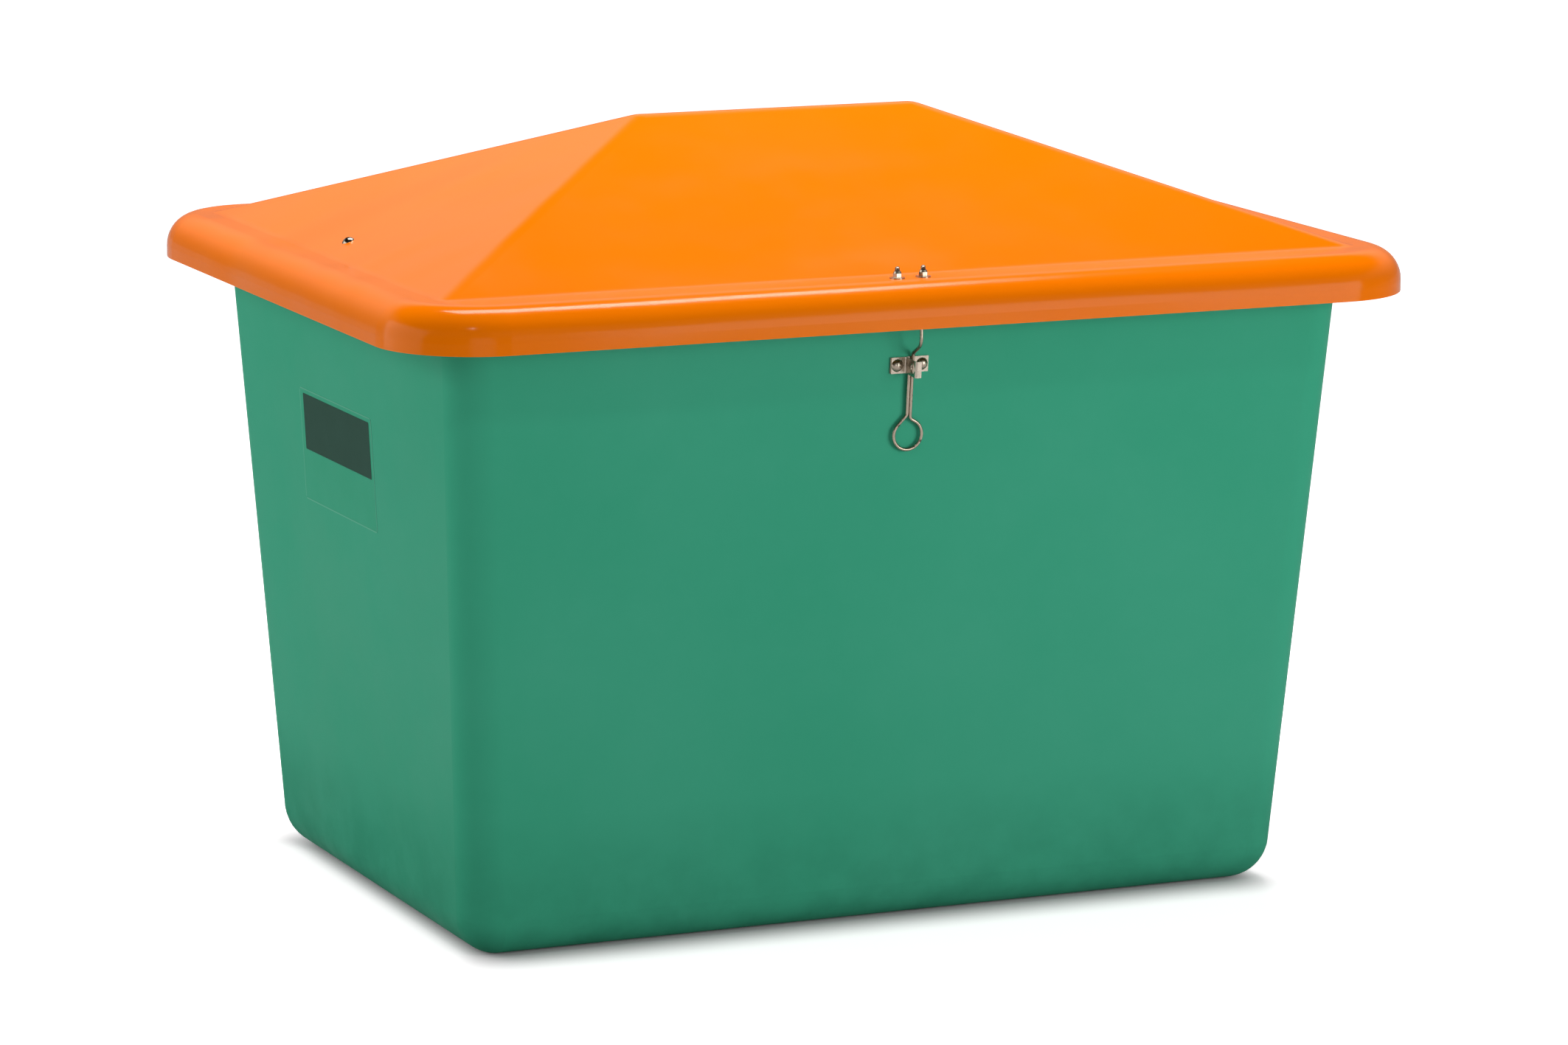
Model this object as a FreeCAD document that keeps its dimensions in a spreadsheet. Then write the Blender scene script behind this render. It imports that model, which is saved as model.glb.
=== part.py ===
"""Grit salt bin: a tapered glass fibre tub under a hipped lid, hinged at the back and held by a wire latch."""
import FreeCAD, Part, Sketcher
import math
import os
import re

from FreeCAD import Placement, Rotation, Vector

# Driving dimensions in millimetres, one cell each
SIZES = {
    # tub: a leaning shell, open at the top, with a rolled rim
    "TubHeight": 809.2,
    "TubTopLength": 1182.0,
    "TubTopDepth": 847.0,
    "TubBaseLength": 1088.5,
    "TubBaseDepth": 692.0,
    "TubWall": 5.0,
    "TubCorner": 46.0,
    "BaseRadius": 54.0,
    "RimReach": 7.0,
    "RimHeight": 18.0,
    "RimRadius": 3.0,
    # lid: a skirted ledge that rests on the rim, and a hipped roof
    "OverhangLength": 72.0,
    "OverhangDepth": 65.0,
    "LidCorner": 122.0,
    "LidWall": 4.5,
    "LidEdgeRadius": 40.0,
    "SkirtHeight": 54.0,
    "LedgeLength": 68.0,
    "LedgeDepth": 85.5,
    "HipRun": 420.0,
    "RoofRise": 155.5,
    "HipRadius": 45.0,
    "ValleyRadius": 30.0,
    # fits
    "SeatGap": 0.3,
    "FaceGap": 0.05,
    "RunningGap": 0.1,
    "KnuckleGap": 0.4,
    # fasteners
    "BoltDiameter": 6.0,
    "ThreadGap": 0.05,
    "HoleDiameter": 6.6,
    "DomeDiameter": 15.5,
    "DomeHeight": 4.5,
    "PanDiameter": 12.0,
    "PanHeight": 3.6,
    "SocketFlats": 4.0,
    "SocketDepth": 2.4,
    "NutFlats": 10.0,
    "NutHeight": 5.0,
    "CollarHeight": 2.4,
    "CollarDiameter": 8.6,
    "WasherDiameter": 18.4,
    "WasherHeight": 1.2,
    "TipLength": 6.0,
    # keeper: a plate on the front wall and a bent hook on the plate
    "KeeperPlace": -6.0,
    "KeeperDrop": 104.4,
    "PlateLength": 50.0,
    "PlateHeight": 19.5,
    "PlateThickness": 2.0,
    "KeeperBoltSpacing": 33.0,
    "HookThickness": 1.5,
    "HookHeight": 20.0,
    "HookReach": 30.0,
    "HookOffset": -5.0,
    "HookFoot": 19.2,
    "LipWidth": 8.2,
    "HookBend": 2.0,
    "PadlockDiameter": 11.5,
    "PadlockReach": 22.0,
    # lid bracket that carries the latch
    "BracketPlace": -17.6,
    "BracketLength": 54.0,
    "BracketDepth": 18.5,
    "BracketBoltSpacing": 34.0,
    "EarWidth": 14.0,
    "EyeDrop": 14.4,
    "EyeHole": 9.0,
    "RimClearance": 1.0,
    # latch: one bent wire
    "WireDiameter": 4.2,
    "WirePlace": -6.0,
    "EyeRadius": 7.1,
    "EyeSlack": 0.3,
    "NeckRadius": 6.0,
    "ShankGap": 0.4,
    "ShankShift": 3.2,
    "JogRise": 28.2,
    "JogHeight": 14.0,
    "JogRadius": 14.0,
    "JogFootRadius": 7.0,
    "WirePairGap": 0.1,
    "RingRadius": 18.4,
    "RingDrop": 86.6,
    "LeftArmAngle": 47.0,
    "RightArmAngle": 31.0,
    "ArmRadius": 6.0,
    "TailRise": 1.2,
    # hinges at the back
    "HingePlace": 330.0,
    "HingeWidth": 50.0,
    "HingeInset": 5.5,
    "HingeDrop": 9.0,
    "KnuckleDiameter": 11.0,
    "KnuckleLength": 19.2,
    "PinDiameter": 6.0,
    "PinHeadDiameter": 9.0,
    "PinHeadHeight": 1.5,
    "LeafThickness": 2.5,
    "LeafBend": 3.0,
    "WallLeafHeight": 62.0,
    "HingeBoltSpacing": 30.0,
    "WallBoltDrop": 38.0,
    # anchors of the cord that limits the lid
    "StayDepth": 5.0,
    "StayRise": 36.0,
    "StayDrop": 41.2,
    "StayFootLength": 22.0,
    "StayFootWidth": 18.0,
    "StayThickness": 2.0,
    "StayEarHeight": 20.0,
    "StayHole": 8.0,
    # label film on the left wall, bare
    "FilmLength": 257.0,
    "FilmHeight": 142.0,
    "FilmThickness": 0.3,
    "FilmCorner": 5.0,
    "FilmDrop": 253.2,
    "FilmPlace": 18.0,
}

# Places worked out from the driving dimensions
DEPTH_LEAN = "((TubTopDepth - TubBaseDepth) / 2 / TubHeight)"
LENGTH_LEAN = "((TubTopLength - TubBaseLength) / 2 / TubHeight)"
DEPTH_ANGLE = f"atan({DEPTH_LEAN})"
LENGTH_ANGLE = f"atan({LENGTH_LEAN})"
LID_LENGTH = "(TubTopLength + 2 * (RimReach + OverhangLength))"
LID_DEPTH = "(TubTopDepth + 2 * (RimReach + OverhangDepth))"
ROOF_LENGTH = f"({LID_LENGTH} - 2 * LedgeLength)"
ROOF_DEPTH = f"({LID_DEPTH} - 2 * LedgeDepth)"
RIDGE_LENGTH = f"({ROOF_LENGTH} - 2 * HipRun)"
LEDGE_TOP = "(TubHeight + SeatGap + LidWall)"
LEDGE_UNDER = "(TubHeight + SeatGap)"
SKIRT_EDGE = f"({LEDGE_TOP} - SkirtHeight)"
ROOF_ANGLE = "atan(RoofRise / HipRun)"
RIM_FRONT = "(TubTopDepth / 2 + RimReach + RimClearance)"
LID_BOLT_LINE = f"({RIM_FRONT} + BracketDepth / 2)"
EAR_PLANE = f"({RIM_FRONT} + BracketDepth - PlateThickness / 2)"
EYE_LEVEL = f"({LEDGE_UNDER} - FaceGap - EyeDrop)"
SHANK_OFFSET = "(PlateThickness + FaceGap + ShankGap + WireDiameter / 2)"
KEEPER_LEVEL = "(TubHeight - KeeperDrop)"
STAY_LEVEL = "(TubHeight - StayDrop)"
FILM_LEVEL = "(TubHeight - FilmDrop)"
HINGE_DEPTH = f"({LID_DEPTH} / 2 - HingeInset)"
HINGE_LEVEL = f"({SKIRT_EDGE} - HingeDrop)"
SKIRT_INSIDE = f"({LID_DEPTH} / 2 - LidWall - FaceGap)"
LEAF_TOP = f"({LEDGE_UNDER} - FaceGap)"

doc = FreeCAD.newDocument("GritSaltBin")
sheet = doc.addObject("Spreadsheet::Sheet", "Sizes")
for row, (alias, number) in enumerate(SIZES.items(), start=1):
    sheet.set(f"A{row}", alias)
    sheet.set(f"B{row}", str(number))
    sheet.setAlias(f"B{row}", alias)
doc.recompute()


def bound(formula):
    """The formula with each alias written as a cell of the sheet."""
    return re.sub(r"[A-Z]\w*", lambda word: f"Sizes.{word[0]}", formula)


def size(formula):
    """The number that a formula of aliases gives now, in millimetres or degrees."""
    result = sheet.evalExpression(formula)
    return float(getattr(result, "Value", result))


def bind(thing, **formulas):
    """Bind properties of one object to formulas of the sheet's cells."""
    for name, formula in formulas.items():
        thing.setExpression(name, bound(formula))


def place(thing, x, y, z, axis=None, angle="0"):
    """Bind an object's place, and its turn about a fixed axis, to formulas."""
    if axis is not None:
        thing.Placement = Placement(Vector(0, 0, 0), Rotation(axis, 1))
        thing.setExpression("Placement.Rotation.Angle", bound(angle))
    for letter, formula in zip("xyz", (x, y, z)):
        thing.setExpression(f"Placement.Base.{letter}", bound(formula))
    return thing


def new(kind, name, **formulas):
    """A new object of the document with its sizes bound."""
    thing = doc.addObject(kind, name)
    bind(thing, **formulas)
    return thing


def body_named(name):
    """An empty body."""
    return doc.addObject("PartDesign::Body", name)


def feature(body, kind, name, **formulas):
    """A new feature of a body with its sizes bound."""
    thing = body.newObject(f"PartDesign::{kind}", name)
    bind(thing, **formulas)
    return thing


def plane_of(body, role):
    """One of the body's own origin planes."""
    return next(item for item in body.Origin.OriginFeatures if item.Role == role)


def pin_down(sketch, element, point, across, along):
    """Fix one point of a sketch at the distances that two formulas give."""
    for axis, formula in (("X", across), ("Y", along)):
        distance = size(formula)
        if abs(distance) < 1e-9:
            line = -2 if axis == "X" else -1
            sketch.addConstraint(Sketcher.Constraint("PointOnObject", element, point, line))
            continue
        ends = (-1, 1, element, point) if distance > 0 else (element, point, -1, 1)
        number = sketch.addConstraint(Sketcher.Constraint(f"Distance{axis}", *ends, abs(distance)))
        sign = "" if distance > 0 else "-1 * "
        sketch.setExpression(f"Constraints[{number}]", bound(f"{sign}({formula})"))


def outline(body, name, role, corners, offset="0"):
    """A closed sketch of straight lines on an origin plane, with every corner bound."""
    sketch = body.newObject("Sketcher::SketchObject", name)
    sketch.AttachmentSupport = (plane_of(body, role), [""])
    sketch.MapMode = "FlatFace"
    sketch.setExpression("AttachmentOffset.Base.z", bound(offset))
    points = [Vector(size(across), size(along), 0) for across, along in corners]
    for start, end in zip(points, points[1:] + points[:1]):
        sketch.addGeometry(Part.LineSegment(start, end), False)
    for index, (across, along) in enumerate(corners):
        sketch.addConstraint(Sketcher.Constraint("Coincident", index - 1 if index else len(corners) - 1, 2, index, 1))
        pin_down(sketch, index, 1, across, along)
    return sketch


def circles(body, name, role, centres, diameter, offset="0"):
    """A sketch of equal circles, each centre and diameter bound."""
    sketch = body.newObject("Sketcher::SketchObject", name)
    sketch.AttachmentSupport = (plane_of(body, role), [""])
    sketch.MapMode = "FlatFace"
    sketch.setExpression("AttachmentOffset.Base.z", bound(offset))
    for index, (across, along) in enumerate(centres):
        middle = Vector(size(across), size(along), 0)
        sketch.addGeometry(Part.Circle(middle, Vector(0, 0, 1), size(diameter) / 2), False)
        pin_down(sketch, index, 3, across, along)
        number = sketch.addConstraint(Sketcher.Constraint("Diameter", index, size(diameter)))
        sketch.setExpression(f"Constraints[{number}]", bound(diameter))
    return sketch


def pad(body, name, sketch, length, both_ways=False, reverse=False):
    """A pad of one sketch, to one side or half to each."""
    made = feature(body, "Pad", name, Length=length)
    made.Profile = sketch
    made.SideType = "Symmetric" if both_ways else "One side"
    made.Reversed = reverse
    doc.recompute()
    return made


def pocket(body, name, sketch, length):
    """A pocket that cuts the same length to both sides of its sketch."""
    before = body.Shape.Volume
    made = feature(body, "Pocket", name, Length=length)
    made.Profile = sketch
    made.SideType = "Symmetric"
    doc.recompute()
    if not body.Shape.Volume < before:
        raise RuntimeError(f"{name} cuts nothing")
    return made


def edges_where(shape, test):
    """The names of the edges whose bounding box passes a test."""
    return [f"Edge{number}" for number, edge in enumerate(shape.Edges, start=1) if test(edge.BoundBox)]


def round_edges(body, name, test, radius):
    """A fillet on the edges of the body that pass a test."""
    base = body.Tip
    made = feature(body, "Fillet", name, Radius=radius)
    made.Base = (base, edges_where(base.Shape, test))
    doc.recompute()
    return made


def upright(box):
    """Whether an edge rises more than it runs, as a leaning corner does."""
    return box.ZLength > 2 * max(box.XLength, box.YLength)


def at_level(formula):
    """A test for edges that lie at one level."""
    level = size(formula)
    return lambda box: abs(box.ZMin - level) < 1e-4 and abs(box.ZMax - level) < 1e-4


def cylinder(name, diameter, height, x="0", y="0", z="0", axis=None, angle="0"):
    """A cylinder along its own Z axis, placed by formulas."""
    made = new("Part::Cylinder", name, Radius=f"{diameter} / 2", Height=height)
    return place(made, x, y, z, axis, angle)


def fuse(name, *things):
    """One solid made of several that touch."""
    made = doc.addObject("Part::MultiFuse", name)
    made.Shapes = list(things)
    made.Refine = True
    return made


def cut(name, base, tool):
    """One solid less another."""
    made = doc.addObject("Part::Cut", name)
    made.Base = base
    made.Tool = tool
    return made


def group(name, things):
    """Several solids under one name."""
    made = doc.addObject("Part::Compound", name)
    made.Links = list(things)
    return made


X_AXIS = Vector(1, 0, 0)
Y_AXIS = Vector(0, 1, 0)


class Spot:
    """A seat on a wall or roof: a point, and the turn that points a piece's Z axis out of it."""

    def __init__(self, x, y, z, axis=None, angle="0"):
        self.x = x
        self.y = y
        self.z = z
        self.axis = axis
        self.angle = angle

    def seat(self, thing):
        """Place one object here."""
        return place(thing, self.x, self.y, self.z, self.axis, self.angle)


def wall_depth(level):
    """How far the tub's front or back face stands from the middle at a level."""
    return f"(TubTopDepth / 2 - (TubHeight - {level}) * {DEPTH_LEAN})"


def wall_length(level):
    """How far the tub's left or right face stands from the middle at a level."""
    return f"(TubTopLength / 2 - (TubHeight - {level}) * {LENGTH_LEAN})"


def front_spot(x, level, out, inward=False):
    """A seat on the front wall, a distance out from its face."""
    angle = f"{DEPTH_ANGLE} - 90 deg" if inward else f"90 deg + {DEPTH_ANGLE}"
    depth = f"-({wall_depth(level)} + {out} * cos({DEPTH_ANGLE}))"
    return Spot(x, depth, f"{level} - {out} * sin({DEPTH_ANGLE})", X_AXIS, angle)


def back_spot(x, level, out, inward=False):
    """A seat on the back wall, a distance out from its face."""
    angle = f"90 deg - {DEPTH_ANGLE}" if inward else f"-90 deg - {DEPTH_ANGLE}"
    depth = f"{wall_depth(level)} + {out} * cos({DEPTH_ANGLE})"
    return Spot(x, depth, f"{level} - {out} * sin({DEPTH_ANGLE})", X_AXIS, angle)


def left_spot(y, level, out, inward=False):
    """A seat on the left wall, a distance out from its face."""
    angle = f"90 deg - {LENGTH_ANGLE}" if inward else f"-90 deg - {LENGTH_ANGLE}"
    length = f"-({wall_length(level)} + {out} * cos({LENGTH_ANGLE}))"
    return Spot(length, y, f"{level} - {out} * sin({LENGTH_ANGLE})", Y_AXIS, angle)


def roof_spot(y, up, out, inward=False):
    """A seat on the lid's left slope, a distance up the slope's run and out from its face."""
    angle = f"180 deg - {ROOF_ANGLE}" if inward else f"-1 * {ROOF_ANGLE}"
    x = f"-{ROOF_LENGTH} / 2 + {up} - {out} * sin({ROOF_ANGLE})"
    z = f"{LEDGE_TOP} + {up} * tan({ROOF_ANGLE}) + {out} * cos({ROOF_ANGLE})"
    return Spot(x, y, z, Y_AXIS, angle)


def ledge_spot(x, y, below=False):
    """A seat on top of the lid's ledge, or under a plate that hangs from it."""
    if below:
        return Spot(x, y, f"{LEDGE_UNDER} - FaceGap", X_AXIS, "180")
    return Spot(x, y, LEDGE_TOP)


# Fasteners

def copies(name, make, spots):
    """One group of equal fasteners, one at each spot."""
    return group(name, [spot.seat(make(f"{name}_{number}")) for number, spot in enumerate(spots, start=1)])


def domed_bolt(length):
    """A maker of mushroom-headed bolts: head above its seat, shank below it."""
    ball = "((DomeDiameter ^ 2 / 4 + DomeHeight ^ 2) / 2 / DomeHeight)"

    def make(name):
        head = new("Part::Sphere", f"{name}_head", Radius=ball, Angle1=f"asin(1 - DomeHeight / {ball})")
        head.Angle2 = 90
        place(head, "0", "0", f"DomeHeight - {ball}")
        shank = cylinder(f"{name}_shank", "(BoltDiameter - 2 * ThreadGap)", f"{length} + DomeHeight / 2", z=f"-({length})")
        return fuse(name, head, shank)
    return make


def socket_bolt(length):
    """A maker of low button-headed bolts with a hexagon socket."""
    bolt = domed_bolt(length)

    def make(name):
        whole = bolt(f"{name}_blank")
        socket = new("Part::Prism", f"{name}_socket", Circumradius="SocketFlats / 2 / cos(30)", Height="SocketDepth + 1")
        socket.Polygon = 6
        place(socket, "0", "0", "DomeHeight - SocketDepth")
        return cut(name, whole, socket)
    return make


def pan_bolt(length):
    """A maker of pan-headed bolts with a rounded tip: head above its seat, shank below it."""
    def make(name):
        head = cylinder(f"{name}_head", "PanDiameter", "PanHeight")
        shank_width = "(BoltDiameter - 2 * ThreadGap)"
        shank = cylinder(f"{name}_shank", shank_width, f"{length} - BoltDiameter / 2 + PanHeight / 2",
                         z=f"-({length} - BoltDiameter / 2)")
        tip = new("Part::Sphere", f"{name}_tip", Radius=f"{shank_width} / 2")
        place(tip, "0", "0", f"-({length} - BoltDiameter / 2)")
        return fuse(name, head, shank, tip)
    return make


def washer(name):
    """A flat washer on its seat."""
    disc = cylinder(f"{name}_disc", "WasherDiameter", "WasherHeight")
    bore = cylinder(f"{name}_bore", "HoleDiameter", "WasherHeight + 2", z="-1")
    return cut(name, disc, bore)


def lock_nut(name):
    """A hexagon nut with a tapered locking collar, on its seat."""
    hexagon = new("Part::Prism", f"{name}_hexagon", Circumradius="NutFlats / 2 / cos(30)", Height="NutHeight")
    hexagon.Polygon = 6
    collar = new("Part::Cone", f"{name}_collar", Radius1="NutFlats / 2", Radius2="CollarDiameter / 2", Height="CollarHeight")
    place(collar, "0", "0", "NutHeight")
    bore = cylinder(f"{name}_bore", "BoltDiameter", "NutHeight + CollarHeight + 2", z="-1")
    return cut(name, fuse(f"{name}_whole", hexagon, collar), bore)


WALL_STACK = "(TubWall + WasherHeight + NutHeight + CollarHeight + TipLength)"
LEDGE_STACK = "(LidWall + WasherHeight + NutHeight + CollarHeight + TipLength)"


def through_wall(spot_at, places, cover):
    """Spots of the bolts, washers and nuts that go through the tub's wall and a cover of that thickness."""
    bolts = [spot_at(across, level, f"({cover} + FaceGap)") for across, level in places]
    washers = [spot_at(across, level, "-TubWall", True) for across, level in places]
    nuts = [spot_at(across, level, "-(TubWall + WasherHeight)", True) for across, level in places]
    return bolts, washers, nuts


def drill(name, spots, diameter="HoleDiameter", length="60"):
    """Cutters for a row of holes, each half out of its seat and half in."""
    tools = []
    for number, spot in enumerate(spots, start=1):
        rod = cylinder(f"{name}_{number}_rod", diameter, length, z=f"-{length} / 2")
        tools.append(spot.seat(group(f"{name}_{number}", [rod])))
    return group(name, tools)


# Where the bolts go
keeper_places = [(f"KeeperPlace {sign} KeeperBoltSpacing / 2", KEEPER_LEVEL) for sign in "-+"]
bracket_places = [f"BracketPlace {sign} BracketBoltSpacing / 2" for sign in "-+"]
hinge_centres = {"left": "-HingePlace", "right": "HingePlace"}
hinge_places = [f"{centre} {sign} HingeBoltSpacing / 2" for centre in hinge_centres.values() for sign in "-+"]
wall_leaf_level = f"({HINGE_LEVEL} - WallBoltDrop)"

keeper_bolts, keeper_washers, keeper_nuts = through_wall(front_spot, keeper_places, "PlateThickness")
keeper_bolts[0] = front_spot(*keeper_places[0], "(PlateThickness + HookThickness + 3 * FaceGap)")
hinge_bolts, hinge_washers, hinge_nuts = through_wall(
    back_spot, [(x, wall_leaf_level) for x in hinge_places], "LeafThickness")
stay_bolts, stay_washers, stay_nuts = through_wall(left_spot, [("StayDepth", STAY_LEVEL)], "0")


def tub():
    """The tub: a frustum with rounded corners, hollowed, with a rolled rim round its mouth."""
    form = body_named("tub_form")
    wedge = feature(form, "AdditiveWedge", "tub_block", Xmin="-TubBaseLength / 2", Xmax="TubBaseLength / 2",
                    Zmin="-TubBaseDepth / 2", Zmax="TubBaseDepth / 2", X2min="-TubTopLength / 2",
                    X2max="TubTopLength / 2", Z2min="-TubTopDepth / 2", Z2max="TubTopDepth / 2", Ymax="TubHeight")
    wedge.Ymin = 0
    wedge.Placement = Placement(Vector(0, 0, 0), Rotation(X_AXIS, 90))
    doc.recompute()
    round_edges(form, "tub_corners", upright, "TubCorner")
    round_edges(form, "tub_base", at_level("0"), "BaseRadius")
    mouth = [f"Face{number}" for number, face in enumerate(form.Shape.Faces, start=1)
             if at_level("TubHeight")(face.BoundBox)]
    shell = new("Part::Thickness", "tub_shell", Value="-TubWall")
    shell.Faces = (form, mouth)
    shell.Mode = 0
    shell.Join = 0
    band = body_named("rim_band")
    block = feature(band, "AdditiveBox", "rim_block", Length="TubTopLength + 2 * RimReach",
                    Width="TubTopDepth + 2 * RimReach", Height="RimHeight")
    place(block, "-(TubTopLength / 2 + RimReach)", "-(TubTopDepth / 2 + RimReach)", "TubHeight - RimHeight")
    doc.recompute()
    round_edges(band, "rim_corners", upright, "TubCorner + RimReach")
    round_edges(band, "rim_rolls", lambda box: at_level("TubHeight")(box) or at_level("TubHeight - RimHeight")(box),
                "RimRadius")
    rim = cut("tub_rim", band, form)
    whole = fuse("tub_whole", shell, rim)
    holes = group("tub_holes", [
        drill("keeper_drill", keeper_bolts), drill("hinge_drill", hinge_bolts), drill("stay_drill", stay_bolts)])
    return cut("tub", whole, holes)


def lid():
    """The lid: a ledge with a rounded skirt, a hipped roof blended into it, hollowed from below."""
    form = body_named("lid_form")
    ledge = feature(form, "AdditiveBox", "lid_ledge", Length=LID_LENGTH, Width=LID_DEPTH, Height="SkirtHeight")
    place(ledge, f"-{LID_LENGTH} / 2", f"-{LID_DEPTH} / 2", SKIRT_EDGE)
    doc.recompute()
    round_edges(form, "lid_corners", upright, "LidCorner")
    round_edges(form, "lid_edge", at_level(LEDGE_TOP), "LidEdgeRadius")
    roof = feature(form, "AdditiveWedge", "lid_roof", Xmin=f"-{ROOF_LENGTH} / 2", Xmax=f"{ROOF_LENGTH} / 2",
                   Zmin=f"-{ROOF_DEPTH} / 2", Zmax=f"{ROOF_DEPTH} / 2", X2min=f"-{RIDGE_LENGTH} / 2",
                   X2max=f"{RIDGE_LENGTH} / 2", Ymax="RoofRise")
    roof.Ymin = 0
    roof.Z2min = 0
    roof.Z2max = 0
    roof.Placement = Placement(Vector(0, 0, 0), Rotation(X_AXIS, 90))
    roof.setExpression("Placement.Base.z", bound(LEDGE_TOP))
    doc.recompute()
    ledge_top = size(LEDGE_TOP)
    half_length = size(f"{ROOF_LENGTH} / 2") + 1
    half_depth = size(f"{ROOF_DEPTH} / 2") + 1
    round_edges(form, "lid_hips", lambda box: box.ZMax > ledge_top + 10, "HipRadius")
    round_edges(form, "lid_valley", lambda box: at_level(LEDGE_TOP)(box) and abs(box.Center.x) < half_length
                and abs(box.Center.y) < half_depth, "ValleyRadius")
    underside = [f"Face{number}" for number, face in enumerate(form.Shape.Faces, start=1)
                 if at_level(SKIRT_EDGE)(face.BoundBox)]
    shell = new("Part::Thickness", "lid_shell", Value="-LidWall")
    shell.Faces = (form, underside)
    shell.Mode = 0
    shell.Join = 0
    seats = [ledge_spot(x, f"-{LID_BOLT_LINE}") for x in bracket_places]
    seats += [ledge_spot(x, LID_BOLT_LINE) for x in hinge_places]
    holes = group("lid_holes", [drill("ledge_drill", seats), drill("roof_drill", [roof_spot("StayDepth", "StayRise", "0")])])
    return cut("lid", shell, holes)


def rectangle(width, height, x="0", y="0"):
    """Corners of a rectangle about a centre."""
    return [(f"{x} {across} {width} / 2", f"{y} {along} {height} / 2") for across, along in ("--", "+-", "++", "-+")]


def keeper_plate():
    """The flat plate that both keeper bolts go through."""
    body = body_named("keeper_plate")
    pad(body, "keeper_plate_pad", outline(body, "keeper_plate_outline", "XY_Plane",
                                          rectangle("PlateLength", "PlateHeight")), "PlateThickness")
    centres = [("-KeeperBoltSpacing / 2", "0"), ("KeeperBoltSpacing / 2", "0")]
    pocket(body, "keeper_plate_cut", circles(body, "keeper_plate_holes", "XY_Plane", centres, "HoleDiameter"), "20")
    return front_spot("KeeperPlace", KEEPER_LEVEL, "FaceGap").seat(body)


def keeper_hook():
    """The hook: a strip with its foot under the left bolt, a tab with a padlock hole, and a lip bent right."""
    body = body_named("keeper_hook")
    floor = "(PlateThickness + FaceGap)"
    face = f"({floor} + HookThickness)"
    inner = "(HookReach - HookThickness)"
    right = "(HookOffset + HookThickness)"
    corners = [
        (f"HookOffset - HookFoot", floor), (right, floor), (right, inner), ("HookOffset + LipWidth", inner),
        ("HookOffset + LipWidth", "HookReach"), ("HookOffset", "HookReach"), ("HookOffset", face),
        (f"HookOffset - HookFoot", face)]
    strip = outline(body, "keeper_hook_outline", "XZ_Plane", corners)
    pad(body, "keeper_hook_pad", strip, "HookHeight", both_ways=True)
    left_side = size("HookOffset")
    right_side = size(right)

    def corner_at(x, z):
        return lambda box: abs(box.Center.x - x) < 1e-4 and abs(box.Center.z - z) < 1e-4 and box.YLength > 1

    round_edges(body, "keeper_hook_root", corner_at(left_side, size(face)), "HookBend")
    round_edges(body, "keeper_hook_heel", corner_at(right_side, size(floor)), "HookBend + HookThickness")
    round_edges(body, "keeper_hook_throat", corner_at(right_side, size(inner)), "HookBend")
    round_edges(body, "keeper_hook_brow", corner_at(left_side, size("HookReach")), "HookBend + HookThickness")
    bolt = circles(body, "keeper_hook_bolt", "XY_Plane", [("-KeeperBoltSpacing / 2", "0")], "HoleDiameter")
    pocket(body, "keeper_hook_bolt_cut", bolt, "20")
    padlock = circles(body, "keeper_hook_padlock", "YZ_Plane", [("0", "PadlockReach")], "PadlockDiameter",
                      "HookOffset + HookThickness / 2")
    pocket(body, "keeper_hook_padlock_cut", padlock, "4 * HookThickness")
    return front_spot("KeeperPlace", KEEPER_LEVEL, "FaceGap").seat(body)


def latch_bracket():
    """The angle under the lid's front ledge, with a round-ended ear that carries the latch's eye."""
    body = body_named("latch_bracket")
    top = LEAF_TOP
    under = f"({LEAF_TOP} - PlateThickness)"
    front = f"(-1 * ({RIM_FRONT} + BracketDepth))"
    middle = f"(-1 * ({RIM_FRONT} + BracketDepth / 2))"
    flange = outline(body, "bracket_flange_outline", "XY_Plane",
                     rectangle("BracketLength", "BracketDepth", "BracketPlace", middle), under)
    pad(body, "bracket_flange", flange, "PlateThickness")
    low = f"({EYE_LEVEL} - EarWidth / 2)"
    corners = [(f"-{RIM_FRONT}", top), (f"{front}", top), (f"{front}", low), (f"{front} + PlateThickness", low),
               (f"{front} + PlateThickness", under), (f"-{RIM_FRONT}", under)]
    ear = outline(body, "bracket_ear_outline", "YZ_Plane", corners, "WirePlace")
    pad(body, "bracket_ear", ear, "EarWidth", both_ways=True)
    foot = at_level(low)
    round_edges(body, "bracket_ear_end", lambda box: box.YLength > 1 and foot(box), "EarWidth / 2 - 0.01")
    eye = circles(body, "bracket_eye", "XZ_Plane", [("WirePlace", EYE_LEVEL)], "EyeHole", EAR_PLANE)
    pocket(body, "bracket_eye_cut", eye, "3 * PlateThickness")
    centres = [(x, middle) for x in bracket_places]
    holes = circles(body, "bracket_holes", "XY_Plane", centres, "HoleDiameter", LEAF_TOP)
    pocket(body, "bracket_holes_cut", holes, "4 * PlateThickness")
    return body


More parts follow.
